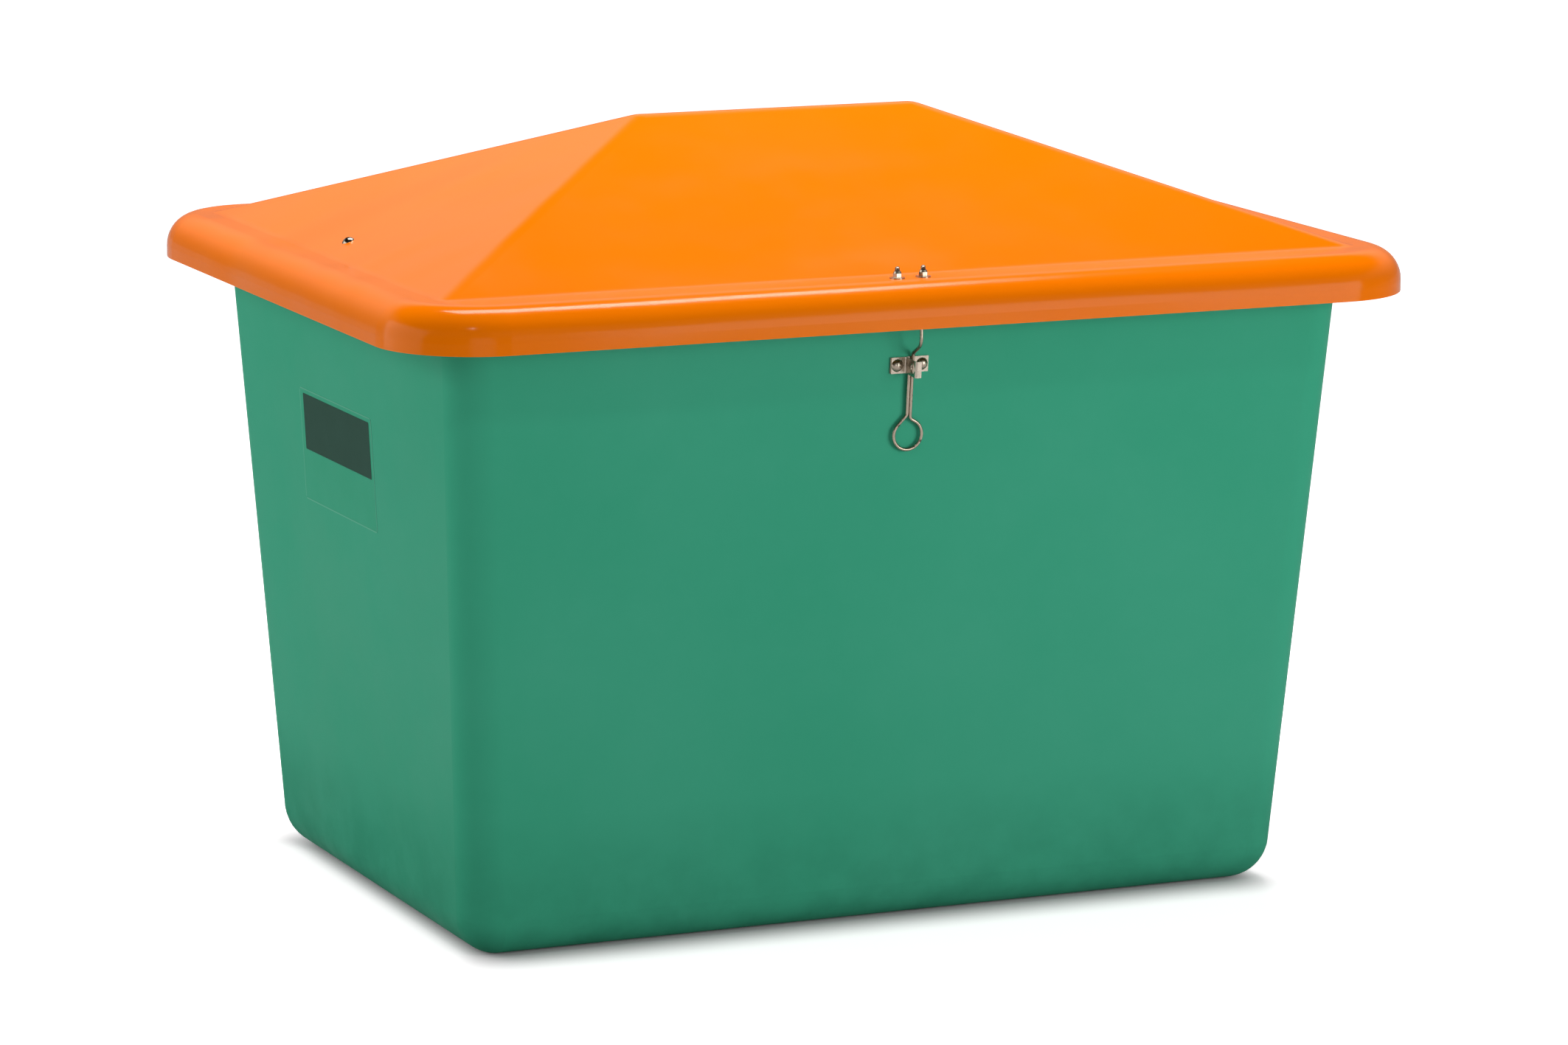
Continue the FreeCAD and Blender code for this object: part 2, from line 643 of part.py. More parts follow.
def hinge_wall_leaf(side):
    """The leaf on the tub's back wall: it stands off under the skirt and ends in two knuckles."""
    centre = hinge_centres[side]
    body = body_named(f"hinge_wall_leaf_{side}_strap")
    low = f"({HINGE_LEVEL} - WallLeafHeight)"
    top = f"({HINGE_LEVEL} + LeafThickness / 2)"
    under = f"({HINGE_LEVEL} - LeafThickness / 2)"
    gap = f"(FaceGap / cos({DEPTH_ANGLE}))"
    skin = f"((FaceGap + LeafThickness) / cos({DEPTH_ANGLE}))"
    end = f"({HINGE_DEPTH} - KnuckleDiameter / 2 - KnuckleGap)"
    corners = [(f"{wall_depth(low)} + {gap}", low), (f"{wall_depth(top)} + {gap}", top), (end, top), (end, under),
               (f"{wall_depth(under)} + {skin}", under), (f"{wall_depth(low)} + {skin}", low)]
    profile = outline(body, f"hinge_wall_leaf_{side}_outline", "YZ_Plane", corners, centre)
    pad(body, f"hinge_wall_leaf_{side}_pad", profile, "HingeWidth", both_ways=True)
    bends = {"heel": (f"{wall_depth(top)} + {gap}", top, "LeafBend + LeafThickness"),
             "root": (f"{wall_depth(under)} + {skin}", under, "LeafBend")}
    for word, (depth, level, radius) in bends.items():
        y, z = size(depth), size(level)
        round_edges(body, f"hinge_wall_leaf_{side}_{word}", lambda box: abs(box.Center.y - y) < 1e-4
                    and abs(box.Center.z - z) < 1e-4 and box.XLength > 1, radius)
    seats = [back_spot(f"{centre} {sign} HingeBoltSpacing / 2", wall_leaf_level, "0") for sign in "-+"]
    drilled = cut(f"hinge_wall_leaf_{side}_drilled", body, drill(f"hinge_wall_leaf_{side}_drill", seats))
    barrel_length = "((HingeWidth - KnuckleLength) / 2 - KnuckleGap)"
    pieces = [drilled]
    for word, start in (("outer", f"{centre} - HingeWidth / 2"), ("inner", f"{centre} + KnuckleLength / 2 + KnuckleGap")):
        barrel = cylinder(f"hinge_wall_knuckle_{side}_{word}", "KnuckleDiameter", barrel_length,
                          start, HINGE_DEPTH, HINGE_LEVEL, Y_AXIS, "90")
        tongue = new("Part::Box", f"hinge_wall_tongue_{side}_{word}", Length=barrel_length,
                     Width="KnuckleDiameter / 2 + KnuckleGap + 1", Height="LeafThickness")
        place(tongue, start, f"{end} - 1", under)
        pieces += [barrel, tongue]
    bore = cylinder(f"hinge_wall_bore_{side}", "(PinDiameter + RunningGap)", "HingeWidth + 2",
                    f"{centre} - HingeWidth / 2 - 1", HINGE_DEPTH, HINGE_LEVEL, Y_AXIS, "90")
    return cut(f"hinge_wall_leaf_{side}", fuse(f"hinge_wall_leaf_{side}_whole", *pieces), bore)


def hinge_lid_leaf(side):
    """The leaf inside the lid's back edge: it follows the rounded skirt down to the middle knuckle."""
    centre = hinge_centres[side]
    body = body_named(f"hinge_lid_leaf_{side}_strap")
    outer_top = LEAF_TOP
    inner_top = f"({LEAF_TOP} - LeafThickness)"
    inner_side = f"({SKIRT_INSIDE} - LeafThickness)"
    low = f"({HINGE_LEVEL} + KnuckleDiameter / 2 + KnuckleGap)"
    corners = [(RIM_FRONT, inner_top), (inner_side, inner_top), (inner_side, low), (SKIRT_INSIDE, low),
               (SKIRT_INSIDE, outer_top), (RIM_FRONT, outer_top)]
    profile = outline(body, f"hinge_lid_leaf_{side}_outline", "YZ_Plane", corners, centre)
    pad(body, f"hinge_lid_leaf_{side}_pad", profile, "HingeWidth", both_ways=True)
    bends = {"back": (SKIRT_INSIDE, outer_top, "LidEdgeRadius - LidWall - FaceGap"),
             "belly": (inner_side, inner_top, "LidEdgeRadius - LidWall - FaceGap - LeafThickness")}
    for word, (depth, level, radius) in bends.items():
        y, z = size(depth), size(level)
        round_edges(body, f"hinge_lid_leaf_{side}_{word}", lambda box: abs(box.Center.y - y) < 1e-4
                    and abs(box.Center.z - z) < 1e-4 and box.XLength > 1, radius)
    seats = [ledge_spot(f"{centre} {sign} HingeBoltSpacing / 2", LID_BOLT_LINE) for sign in "-+"]
    drilled = cut(f"hinge_lid_leaf_{side}_drilled", body, drill(f"hinge_lid_leaf_{side}_drill", seats))
    start = f"{centre} - KnuckleLength / 2"
    barrel = cylinder(f"hinge_lid_knuckle_{side}", "KnuckleDiameter", "KnuckleLength",
                      start, HINGE_DEPTH, HINGE_LEVEL, Y_AXIS, "90")
    tongue = new("Part::Box", f"hinge_lid_tongue_{side}", Length="KnuckleLength", Width="LeafThickness",
                 Height="KnuckleDiameter / 2 + KnuckleGap + 1")
    place(tongue, start, inner_side, HINGE_LEVEL)
    bore = cylinder(f"hinge_lid_bore_{side}", "(PinDiameter + 2 * RunningGap)", "KnuckleLength + 2",
                    f"{start} - 1", HINGE_DEPTH, HINGE_LEVEL, Y_AXIS, "90")
    return cut(f"hinge_lid_leaf_{side}", fuse(f"hinge_lid_leaf_{side}_whole", drilled, barrel, tongue), bore)


def hinge_pin(side):
    """The pin through three knuckles, with a flat head at each end."""
    centre = hinge_centres[side]
    rod = cylinder(f"hinge_pin_{side}_rod", "PinDiameter", "HingeWidth + 2 * (FaceGap + PinHeadHeight)",
                   f"{centre} - HingeWidth / 2 - FaceGap - PinHeadHeight", HINGE_DEPTH, HINGE_LEVEL, Y_AXIS, "90")
    near = cylinder(f"hinge_pin_{side}_near", "PinHeadDiameter", "PinHeadHeight",
                    f"{centre} - HingeWidth / 2 - FaceGap - PinHeadHeight", HINGE_DEPTH, HINGE_LEVEL, Y_AXIS, "90")
    far = cylinder(f"hinge_pin_{side}_far", "PinHeadDiameter", "PinHeadHeight",
                   f"{centre} + HingeWidth / 2 + FaceGap", HINGE_DEPTH, HINGE_LEVEL, Y_AXIS, "90")
    return fuse(f"hinge_pin_{side}", rod, near, far)


def stay_eye(name, spot):
    """A small angle whose ear has the eye for the limiting cord: foot on its seat, ear standing up from it."""
    body = body_named(name)
    foot = "(StayFootLength / 2)"
    corners = [(f"-{foot}", "0"), (foot, "0"), (foot, "StayEarHeight"), (f"{foot} - StayThickness", "StayEarHeight"),
               (f"{foot} - StayThickness", "StayThickness"), (f"-{foot}", "StayThickness")]
    profile = outline(body, f"{name}_outline", "XZ_Plane", corners)
    pad(body, f"{name}_pad", profile, "StayFootWidth", both_ways=True)
    bolt = circles(body, f"{name}_bolt", "XY_Plane", [("0", "0")], "HoleDiameter")
    pocket(body, f"{name}_bolt_cut", bolt, "4 * StayThickness")
    tops = at_level("StayEarHeight")
    round_edges(body, f"{name}_ear", lambda box: box.XLength > 1 and tops(box), "StayFootWidth / 3")
    level = "(StayEarHeight - StayHole)"
    eye = circles(body, f"{name}_eye", "YZ_Plane", [("0", level)], "StayHole", f"{foot} - StayThickness / 2")
    pocket(body, f"{name}_eye_cut", eye, "4 * StayThickness")
    return spot.seat(body)


def label_film():
    """The bare film on the left wall."""
    body = body_named("label_film")
    sheet_outline = outline(body, "film_outline", "XY_Plane", rectangle("FilmHeight", "FilmLength"))
    pad(body, "film_pad", sheet_outline, "FilmThickness")
    round_edges(body, "film_corners", lambda box: box.ZLength > 0.1 and box.XLength < 1e-4 and box.YLength < 1e-4,
                "FilmCorner")
    return left_spot("FilmPlace", FILM_LEVEL, "FaceGap").seat(body)


def bent(points, radii):
    """Straight runs between points, joined by tangent arcs of the given radii at the inner points."""
    edges = []
    start = points[0]
    for before, corner, after, radius in zip(points, points[1:], points[2:], radii):
        arrive = (corner - before).normalize()
        leave = (after - corner).normalize()
        half_turn = arrive.getAngle(leave) / 2
        reach = radius * math.tan(half_turn)
        first = corner - arrive * reach
        last = corner + leave * reach
        inward = (leave - arrive).normalize()
        middle = corner + inward * (radius / math.cos(half_turn) - radius)
        edges += [Part.makeLine(start, first), Part.Arc(first, middle, last).toShape()]
        start = last
    edges.append(Part.makeLine(start, points[-1]))
    return edges


def swept(edges, diameter):
    """A round wire along a chain of edges."""
    path = Part.Wire(edges)
    start = edges[0].Vertexes[0].Point
    heading = edges[0].tangentAt(edges[0].FirstParameter)
    section = Part.Wire([Part.makeCircle(diameter / 2, start, heading)])
    return path.makePipeShell([section], True, True)


def latch_wire():
    """The latch: one wire bent to an eye, a jogged shank, a finger ring and a tail beside the shank."""
    wire = size("WireDiameter")
    plane_y = -size(EAR_PLANE)
    x_top = size("WirePlace")
    x_main = x_top + size("ShankShift")
    x_tail = x_main - wire - size("WirePairGap")
    x_ring = (x_main + x_tail) / 2
    eye = size("EyeRadius")
    neck = size("NeckRadius")
    eye_z = size(f"{EYE_LEVEL} - EyeHole / 2 + WireDiameter / 2 + EyeSlack - EyeRadius")

    def wall_line(level):
        return -size(f"{wall_depth(str(level))} + {SHANK_OFFSET} / cos({DEPTH_ANGLE})")

    # eye in the plane across the ear: nearly a full turn, then a neck into the shank
    drop = math.sqrt((eye + neck) ** 2 - neck ** 2)
    joint_angle = math.atan2(-drop, neck)

    def on_eye(angle):
        return Vector(x_top, plane_y + eye * math.cos(angle), eye_z + eye * math.sin(angle))

    end_angle = joint_angle + math.radians(300)
    eye_arc = Part.Arc(on_eye(end_angle), on_eye((joint_angle + end_angle) / 2), on_eye(joint_angle)).toShape()
    neck_centre = Vector(x_top, plane_y + neck, eye_z - drop)
    neck_start = Vector(x_top, plane_y, eye_z - drop)
    half = (math.pi + math.atan2(drop, -neck)) / 2
    neck_middle = neck_centre + Vector(0, neck * math.cos(half), neck * math.sin(half))
    neck_arc = Part.Arc(on_eye(joint_angle), neck_middle, neck_start).toShape()
    # jog towards the wall, shank down to the ring, ring, and the tail up again
    jog_top = size(f"{KEEPER_LEVEL} + JogRise")
    jog_bottom = jog_top - size("JogHeight")
    ring_z = size(f"{KEEPER_LEVEL} - RingDrop")
    ring = size("RingRadius")

    def on_wall(x, level):
        return Vector(x, wall_line(level), level)

    # each arm leaves the pair and meets the ring as a tangent, the left one higher up than the right one
    def arm(x_pair, slope):
        angle = math.radians(slope)
        out = math.copysign(ring * math.sin(angle), x_pair - x_ring)
        touch_level = ring_z + ring * math.cos(angle)
        rise = (abs(out) - abs(x_pair - x_ring)) * math.tan(angle)
        return on_wall(x_pair, touch_level + rise), on_wall(x_ring + out, touch_level)

    meet_right, touch_right = arm(x_main, size("RightArmAngle"))
    meet_left, touch_left = arm(x_tail, size("LeftArmAngle"))
    bottom = on_wall(x_ring, ring_z - ring)
    down = bent([neck_start, Vector(x_top, plane_y, jog_top), on_wall(x_main, jog_bottom), meet_right, touch_right],
                [size("JogRadius"), size("JogFootRadius"), size("ArmRadius")])
    loop = Part.Arc(touch_right, bottom, touch_left).toShape()
    up = bent([touch_left, meet_left, on_wall(x_tail, size(f"{KEEPER_LEVEL} + TailRise"))], [size("ArmRadius")])
    chain = [eye_arc, neck_arc] + down + [loop] + up
    made = doc.addObject("Part::Feature", "latch_wire")
    made.Shape = swept(chain, wire)
    return made


SUB_PARTS = [
    tub(),
    lid(),
    keeper_plate(),
    keeper_hook(),
    copies("keeper_bolts", domed_bolt(f"PlateThickness + HookThickness + {WALL_STACK}"), keeper_bolts),
    copies("keeper_washers", washer, keeper_washers),
    copies("keeper_nuts", lock_nut, keeper_nuts),
    latch_bracket(),
    copies("latch_bolts", pan_bolt(f"PlateThickness + {LEDGE_STACK}"),
           [Spot(x, f"-{LID_BOLT_LINE}", f"{LEAF_TOP} - PlateThickness - FaceGap", X_AXIS, "180")
            for x in bracket_places]),
    copies("latch_washers", washer, [ledge_spot(x, f"-{LID_BOLT_LINE}") for x in bracket_places]),
    copies("latch_nuts", lock_nut,
           [Spot(x, f"-{LID_BOLT_LINE}", f"{LEDGE_TOP} + WasherHeight") for x in bracket_places]),
    latch_wire(),
]
for side in hinge_centres:
    SUB_PARTS += [hinge_wall_leaf(side), hinge_lid_leaf(side), hinge_pin(side)]
SUB_PARTS += [
    copies("hinge_wall_bolts", domed_bolt(f"LeafThickness + {WALL_STACK}"), hinge_bolts),
    copies("hinge_wall_washers", washer, hinge_washers),
    copies("hinge_wall_nuts", lock_nut, hinge_nuts),
    copies("hinge_lid_bolts", pan_bolt(f"LeafThickness + {LEDGE_STACK}"),
           [Spot(x, LID_BOLT_LINE, f"{LEAF_TOP} - LeafThickness - FaceGap", X_AXIS, "180") for x in hinge_places]),
    copies("hinge_lid_washers", washer, [ledge_spot(x, LID_BOLT_LINE) for x in hinge_places]),
    copies("hinge_lid_nuts", lock_nut,
           [Spot(x, LID_BOLT_LINE, f"{LEDGE_TOP} + WasherHeight") for x in hinge_places]),
    stay_eye("stay_eye_lid", roof_spot("StayDepth", "StayRise", "-(LidWall + FaceGap)", True)),
    copies("stay_lid_bolt", socket_bolt(f"StayThickness + {LEDGE_STACK}"), [roof_spot("StayDepth", "StayRise", "FaceGap")]),
    copies("stay_lid_nut", lock_nut,
           [roof_spot("StayDepth", "StayRise", "-(LidWall + StayThickness + 2 * FaceGap)", True)]),
    stay_eye("stay_eye_tub", left_spot("StayDepth", STAY_LEVEL, "-(TubWall + FaceGap)", True)),
    copies("stay_tub_bolt", domed_bolt(f"StayThickness + {WALL_STACK}"), stay_bolts),
    copies("stay_tub_nut", lock_nut,
           [left_spot("StayDepth", STAY_LEVEL, "-(TubWall + StayThickness + 2 * FaceGap)", True)]),
    label_film(),
]

doc.recompute()
for thing in doc.Objects:
    if "Invalid" in thing.State or "Error" in thing.State:
        raise RuntimeError(f"{thing.Name} failed: {thing.State} {thing.getStatusString()}")
os.makedirs("parts", exist_ok=True)
for part in SUB_PARTS:
    part.Label = part.Name
    if part.Shape.isNull() or not part.Shape.isValid() or not part.Shape.Solids:
        raise RuntimeError(f"{part.Label} has no valid solid")
for part in SUB_PARTS:
    part.Shape.exportStep(f"parts/{part.Label}.step")
    print(f"{part.Label}: {len(part.Shape.Solids)} solids, {part.Shape.Volume / 1000:.1f} cm3")
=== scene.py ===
"""Looks of a grit salt bin: gel-coated tub and lid, stainless latch and hinges, and a bare label film.

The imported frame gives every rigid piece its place. This file gives each piece its finish, opens the eye of
the latch's bracket, lays a plain panel on the film, and sets the studio and the camera.
"""
import logging
import math
from dataclasses import dataclass, field
from enum import Enum
from typing import Any, Callable, Iterable, Sequence

import bpy
from mathutils import Matrix, Vector

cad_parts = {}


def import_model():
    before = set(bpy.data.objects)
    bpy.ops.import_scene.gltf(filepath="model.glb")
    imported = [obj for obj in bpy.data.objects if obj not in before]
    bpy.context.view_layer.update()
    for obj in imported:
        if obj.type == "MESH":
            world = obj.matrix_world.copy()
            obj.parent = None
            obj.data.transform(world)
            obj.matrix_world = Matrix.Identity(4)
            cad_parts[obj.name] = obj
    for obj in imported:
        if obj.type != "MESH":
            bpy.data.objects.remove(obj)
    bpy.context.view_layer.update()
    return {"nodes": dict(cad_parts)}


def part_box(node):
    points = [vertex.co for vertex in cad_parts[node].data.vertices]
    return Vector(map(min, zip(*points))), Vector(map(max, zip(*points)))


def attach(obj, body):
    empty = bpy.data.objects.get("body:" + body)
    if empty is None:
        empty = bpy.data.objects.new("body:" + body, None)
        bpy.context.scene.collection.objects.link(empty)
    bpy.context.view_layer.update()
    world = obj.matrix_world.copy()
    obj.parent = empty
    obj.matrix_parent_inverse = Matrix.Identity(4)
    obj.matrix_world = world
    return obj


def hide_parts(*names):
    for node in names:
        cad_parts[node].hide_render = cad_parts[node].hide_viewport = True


LOG = logging.getLogger("grit_salt_bin")
Triple = tuple[float, float, float]
Node = bpy.types.Node
Socket = bpy.types.NodeSocket
Material = bpy.types.Material
Piece = bpy.types.Object
COLOUR_SOCKETS = ("Colour", "Pale", "Grime")
STRIP = "stainless strip"
WIRE = "stainless wire"
BOLT = "stainless fasteners"
THREAD = "stainless thread"
KEEPER = {"keeper_plate": STRIP, "keeper_hook": STRIP, "keeper_bolts": BOLT, "keeper_washers": BOLT,
          "keeper_nuts": BOLT}
LATCH = {"latch_wire": WIRE, "latch_bracket": STRIP, "latch_bolts": THREAD, "latch_washers": BOLT,
         "latch_nuts": BOLT}
BACK_HINGES = {"hinge_wall_leaf_left": STRIP, "hinge_wall_leaf_right": STRIP, "hinge_lid_leaf_left": STRIP,
               "hinge_lid_leaf_right": STRIP, "hinge_pin_left": BOLT, "hinge_pin_right": BOLT,
               "hinge_wall_bolts": BOLT, "hinge_wall_washers": BOLT, "hinge_wall_nuts": BOLT,
               "hinge_lid_bolts": THREAD, "hinge_lid_washers": BOLT, "hinge_lid_nuts": BOLT}
CORD_EYES = {"stay_eye_lid": STRIP, "stay_lid_bolt": BOLT, "stay_lid_nut": BOLT, "stay_eye_tub": STRIP,
             "stay_tub_bolt": BOLT, "stay_tub_nut": BOLT}


def srgb(red: int, green: int, blue: int) -> Triple:
    """Turn a display colour into the linear one that a shader takes.

    Args:
        red: red from 0 to 255.
        green: green from 0 to 255.
        blue: blue from 0 to 255.

    Returns:
        The three linear values.
    """
    def linear(value: int) -> float:
        """One channel by the sRGB curve."""
        share = value / 255
        return share / 12.92 if share <= 0.04045 else ((share + 0.055) / 1.055) ** 2.4
    return linear(red), linear(green), linear(blue)


class Sheet:
    """Adds nodes to one node tree and wires them."""

    mix_inputs = (6, 7)
    mix_output = 2

    def __init__(self, tree: bpy.types.NodeTree) -> None:
        """Start on an emptied tree.

        Args:
            tree: the node tree to fill.
        """
        self.tree = tree
        tree.nodes.clear()

    def put(self, kind: str, **settings: Any) -> Node:
        """Add one node and set its properties.

        Args:
            kind: the node's type without the leading ShaderNode.
            settings: property names and values.

        Returns:
            The new node.
        """
        prefix = "" if kind.startswith("Node") else "ShaderNode"
        node = self.tree.nodes.new(prefix + kind)
        for name, value in settings.items():
            setattr(node, name, value)
        return node

    def feed(self, node: Node, socket: int | str, value: Any) -> None:
        """Give an input a plain value or the output of another node.

        Args:
            node: the node that takes it.
            socket: the input's name or number.
            value: a number, a colour, a vector or an output socket.
        """
        target = node.inputs[socket]
        if isinstance(value, Socket):
            self.tree.links.new(value, target)
        elif isinstance(value, tuple) and len(value) == 3 and target.type == "RGBA":
            target.default_value = (*value, 1.0)
        else:
            target.default_value = value

    def calc(self, operation: str, first: Any, second: Any, clamp: bool = False) -> Socket:
        """One step of arithmetic.

        Args:
            operation: the name of the operation.
            first: a number or an output.
            second: a number or an output.
            clamp: whether the result stays between 0 and 1.

        Returns:
            The result's socket.
        """
        node = self.put("Math", operation=operation, use_clamp=clamp)
        self.feed(node, 0, first)
        self.feed(node, 1, second)
        return node.outputs[0]

    def times(self, first: Any, second: Any, clamp: bool = False) -> Socket:
        """The product of two values, held between 0 and 1 where clamp says so."""
        return self.calc("MULTIPLY", first, second, clamp)

    def plus(self, first: Any, second: Any) -> Socket:
        """The sum of two values."""
        return self.calc("ADD", first, second)

    def vector(self, operation: str, first: Any, second: Any = (0.0, 0.0, 0.0)) -> Node:
        """One step of arithmetic on vectors.

        Args:
            operation: the name of the operation.
            first: a vector or an output.
            second: a vector or an output, where the operation takes two.

        Returns:
            The node, whose output depends on the operation.
        """
        node = self.put("VectorMath", operation=operation)
        self.feed(node, 0, first)
        self.feed(node, 1, second)
        return node

    def axes(self, position: Any) -> Any:
        """Take a vector apart.

        Args:
            position: the vector.

        Returns:
            The outputs X, Y and Z.
        """
        node = self.put("SeparateXYZ")
        self.feed(node, 0, position)
        return node.outputs

    def spread(self, value: Any, low: float, high: float, to_low: float = 0.0,
               to_high: float = 1.0) -> Socket:
        """Map a range smoothly onto another.

        Args:
            value: the output to map.
            low: where the source range starts.
            high: where it ends.
            to_low: what low becomes.
            to_high: what high becomes.

        Returns:
            The mapped value's socket.
        """
        node = self.put("MapRange", interpolation_type="SMOOTHSTEP")
        sockets = {"Value": value, "From Min": low, "From Max": high, "To Min": to_low, "To Max": to_high}
        for socket, number in sockets.items():
            self.feed(node, socket, number)
        return node.outputs["Result"]

    def noise(self, position: Any, scale: Any, detail: float, roughness: float) -> Socket:
        """Soft noise.

        Args:
            position: the coordinates that it reads.
            scale: features per metre.
            detail: number of finer layers.
            roughness: weight of the finer layers.

        Returns:
            The socket of a value from 0 to 1.
        """
        node = self.put("TexNoise")
        sockets = {"Vector": position, "Scale": scale, "Detail": detail, "Roughness": roughness}
        for socket, value in sockets.items():
            self.feed(node, socket, value)
        return node.outputs[0]

    def blend(self, factor: Any, first: Any, second: Any) -> Socket:
        """Mix two colours.

        Args:
            factor: share of the second colour.
            first: a colour or an output.
            second: a colour or an output.

        Returns:
            The mixed colour's socket.
        """
        node = self.put("Mix", data_type="RGBA")
        self.feed(node, 0, factor)
        for socket, colour in zip(self.mix_inputs, (first, second)):
            self.feed(node, socket, colour)
        return node.outputs[self.mix_output]

    def stretched(self, position: Any, scale: Triple, turn: Sequence[float] = (0, 0, 0)) -> Socket:
        """Stretch and turn coordinates.

        Args:
            position: the coordinates.
            scale: factor along each axis.
            turn: turn about each axis in degrees.

        Returns:
            The socket of the new coordinates.
        """
        node = self.put("Mapping")
        self.feed(node, "Vector", position)
        node.inputs["Rotation"].default_value = [math.radians(angle) for angle in turn]
        node.inputs["Scale"].default_value = scale
        return node.outputs[0]


class Effect(Enum):
    """The shared shader effects, each a node group that is built once."""

    PIGMENT = "pigment drift"
    RIPPLE = "mould ripple"
    DUST_AND_SHADE = "ground grime"
    SCUFF = "fine scuffs"
    STRANDS = "chopped strands"
    GRAIN = "drawn steel grain"
    NICKS = "edge nicks"
    DENT = "single dent"
    BORDER = "lifted border"


@dataclass(frozen=True)
class Recipe:
    """The names of what a shared effect takes and gives, and the method that lays its nodes."""

    inputs: tuple[str, ...]
    outputs: tuple[str, ...]
    fill: Callable[[Sheet, Any], dict[str, Any]]


class EffectShop:
    """Builds the shared node groups."""

    def __init__(self) -> None:
        """Build every group."""
        recipes = {
            Effect.PIGMENT: Recipe(("Colour", "Pale", "Scale", "Amount"), ("Colour",), self.pigment),
            Effect.RIPPLE: Recipe(("Wave Scale", "Wave", "Peel Scale", "Peel"), ("Height",), self.ripple),
            Effect.DUST_AND_SHADE: Recipe(("Colour", "Grime", "Reach", "Amount"), ("Colour", "Mask"), self.dust_and_shade),
            Effect.SCUFF: Recipe(("Scale", "Amount"), ("Mask",), self.scuff),
            Effect.STRANDS: Recipe(("Scale",), ("Mask", "Height"), self.strands),
            Effect.GRAIN: Recipe(("Scale", "Low", "High"), ("Roughness", "Height"), self.grain),
            Effect.NICKS: Recipe(("Scale", "Amount"), ("Mask",), self.nicks),
            Effect.DENT: Recipe(("X", "Y", "Z", "Reach"), ("Mask",), self.dent),
            Effect.BORDER: Recipe(("Middle Y", "Middle Z", "Half Y", "Half Z", "Band"), ("Mask",),
                                  self.border)}
        self.groups = {effect: self.build(effect, recipe) for effect, recipe in recipes.items()}

    @staticmethod
    def build(effect: Effect, recipe: Recipe) -> bpy.types.NodeTree:
        """Make one group with named inputs and outputs.

        Args:
            effect: which effect it is.
            recipe: its sockets, and the method that lays its nodes and gives what each output takes.

        Returns:
            The group.
        """
        group = bpy.data.node_groups.new(effect.value, "ShaderNodeTree")
        face = group.interface
        face.new_socket("Position", in_out="INPUT", socket_type="NodeSocketVector")
        for way, names in (("INPUT", recipe.inputs), ("OUTPUT", recipe.outputs)):
            for name in names:
                kind = "NodeSocketColor" if name in COLOUR_SOCKETS else "NodeSocketFloat"
                face.new_socket(name, in_out=way, socket_type=kind)
        sheet = Sheet(group)
        given = sheet.put("NodeGroupInput")
        taken = sheet.put("NodeGroupOutput")
        for name, value in recipe.fill(sheet, given.outputs).items():
            sheet.feed(taken, name, value)
        return group

    @staticmethod
    def pigment(sheet: Sheet, given: Any) -> dict[str, Any]:
        """Cloudy drift between a colour and a paler one.

        Args:
            sheet: the group's sheet.
            given: the group's inputs.

        Returns:
            What each output takes.
        """
        speck_share = 0.25
        speck_scale = sheet.times(given["Scale"], 9.0)
        broad = sheet.noise(given["Position"], given["Scale"], detail=3.0, roughness=0.45)
        fine = sheet.noise(given["Position"], speck_scale, detail=4.0, roughness=0.6)
        specks = sheet.times(sheet.spread(fine, low=0.35, high=0.75), speck_share)
        both = sheet.plus(sheet.spread(broad, low=0.3, high=0.72), specks)
        share = sheet.times(both, given["Amount"], clamp=True)
        return {"Colour": sheet.blend(share, given["Colour"], given["Pale"])}

    @staticmethod
    def ripple(sheet: Sheet, given: Any) -> dict[str, Any]:
        """Long waves of a hand-laid shell and the fine peel of its gel coat.

        Args:
            sheet: the group's sheet.
            given: the group's inputs.

        Returns:
            What each output takes.
        """
        wave = sheet.noise(given["Position"], given["Wave Scale"], detail=1.0, roughness=0.4)
        peel = sheet.noise(given["Position"], given["Peel Scale"], detail=2.0, roughness=0.5)
        return {"Height": sheet.plus(sheet.times(wave, given["Wave"]), sheet.times(peel, given["Peel"]))}

    @staticmethod
    def dust_and_shade(sheet: Sheet, given: Any) -> dict[str, Any]:
        """Dust and painted shade: a darker, duller film that fades upwards from the ground.

        Args:
            sheet: the group's sheet.
            given: the group's inputs.

        Returns:
            What each output takes.
        """
        patch_scale = 14.0
        level = sheet.calc("DIVIDE", sheet.axes(given["Position"])["Z"], given["Reach"])
        low = sheet.calc("SUBTRACT", 1.0, level, clamp=True)
        patches = sheet.noise(given["Position"], patch_scale, detail=5.0, roughness=0.6)
        patchy = sheet.spread(patches, low=0.3, high=0.7, to_low=0.35)
        mask = sheet.times(sheet.times(low, patchy), given["Amount"], clamp=True)
        return {"Colour": sheet.blend(mask, given["Colour"], given["Grime"]), "Mask": mask}

    @staticmethod
    def scuff(sheet: Sheet, given: Any) -> dict[str, Any]:
        """Short fine scratches that lie two ways.

        Args:
            sheet: the group's sheet.
            given: the group's inputs.

        Returns:
            What each output takes.
        """
        line_scale = sheet.times(given["Scale"], 20.0)
        ways = (((10, 24, 35), (1.0, 0.06, 0.4)), ((-20, 60, -40), (0.5, 1.0, 0.05)))
        layers = []
        for turn, stretch in ways:
            drawn = sheet.stretched(given["Position"], stretch, turn)
            lines = sheet.noise(drawn, line_scale, detail=1.0, roughness=0.5)
            layers.append(sheet.spread(lines, low=0.68, high=0.74))
        patches = sheet.noise(given["Position"], given["Scale"], detail=2.0, roughness=0.5)
        where = sheet.spread(patches, low=0.5, high=0.7)
        scratched = sheet.times(sheet.calc("MAXIMUM", *layers), where)
        return {"Mask": sheet.times(scratched, given["Amount"], clamp=True)}

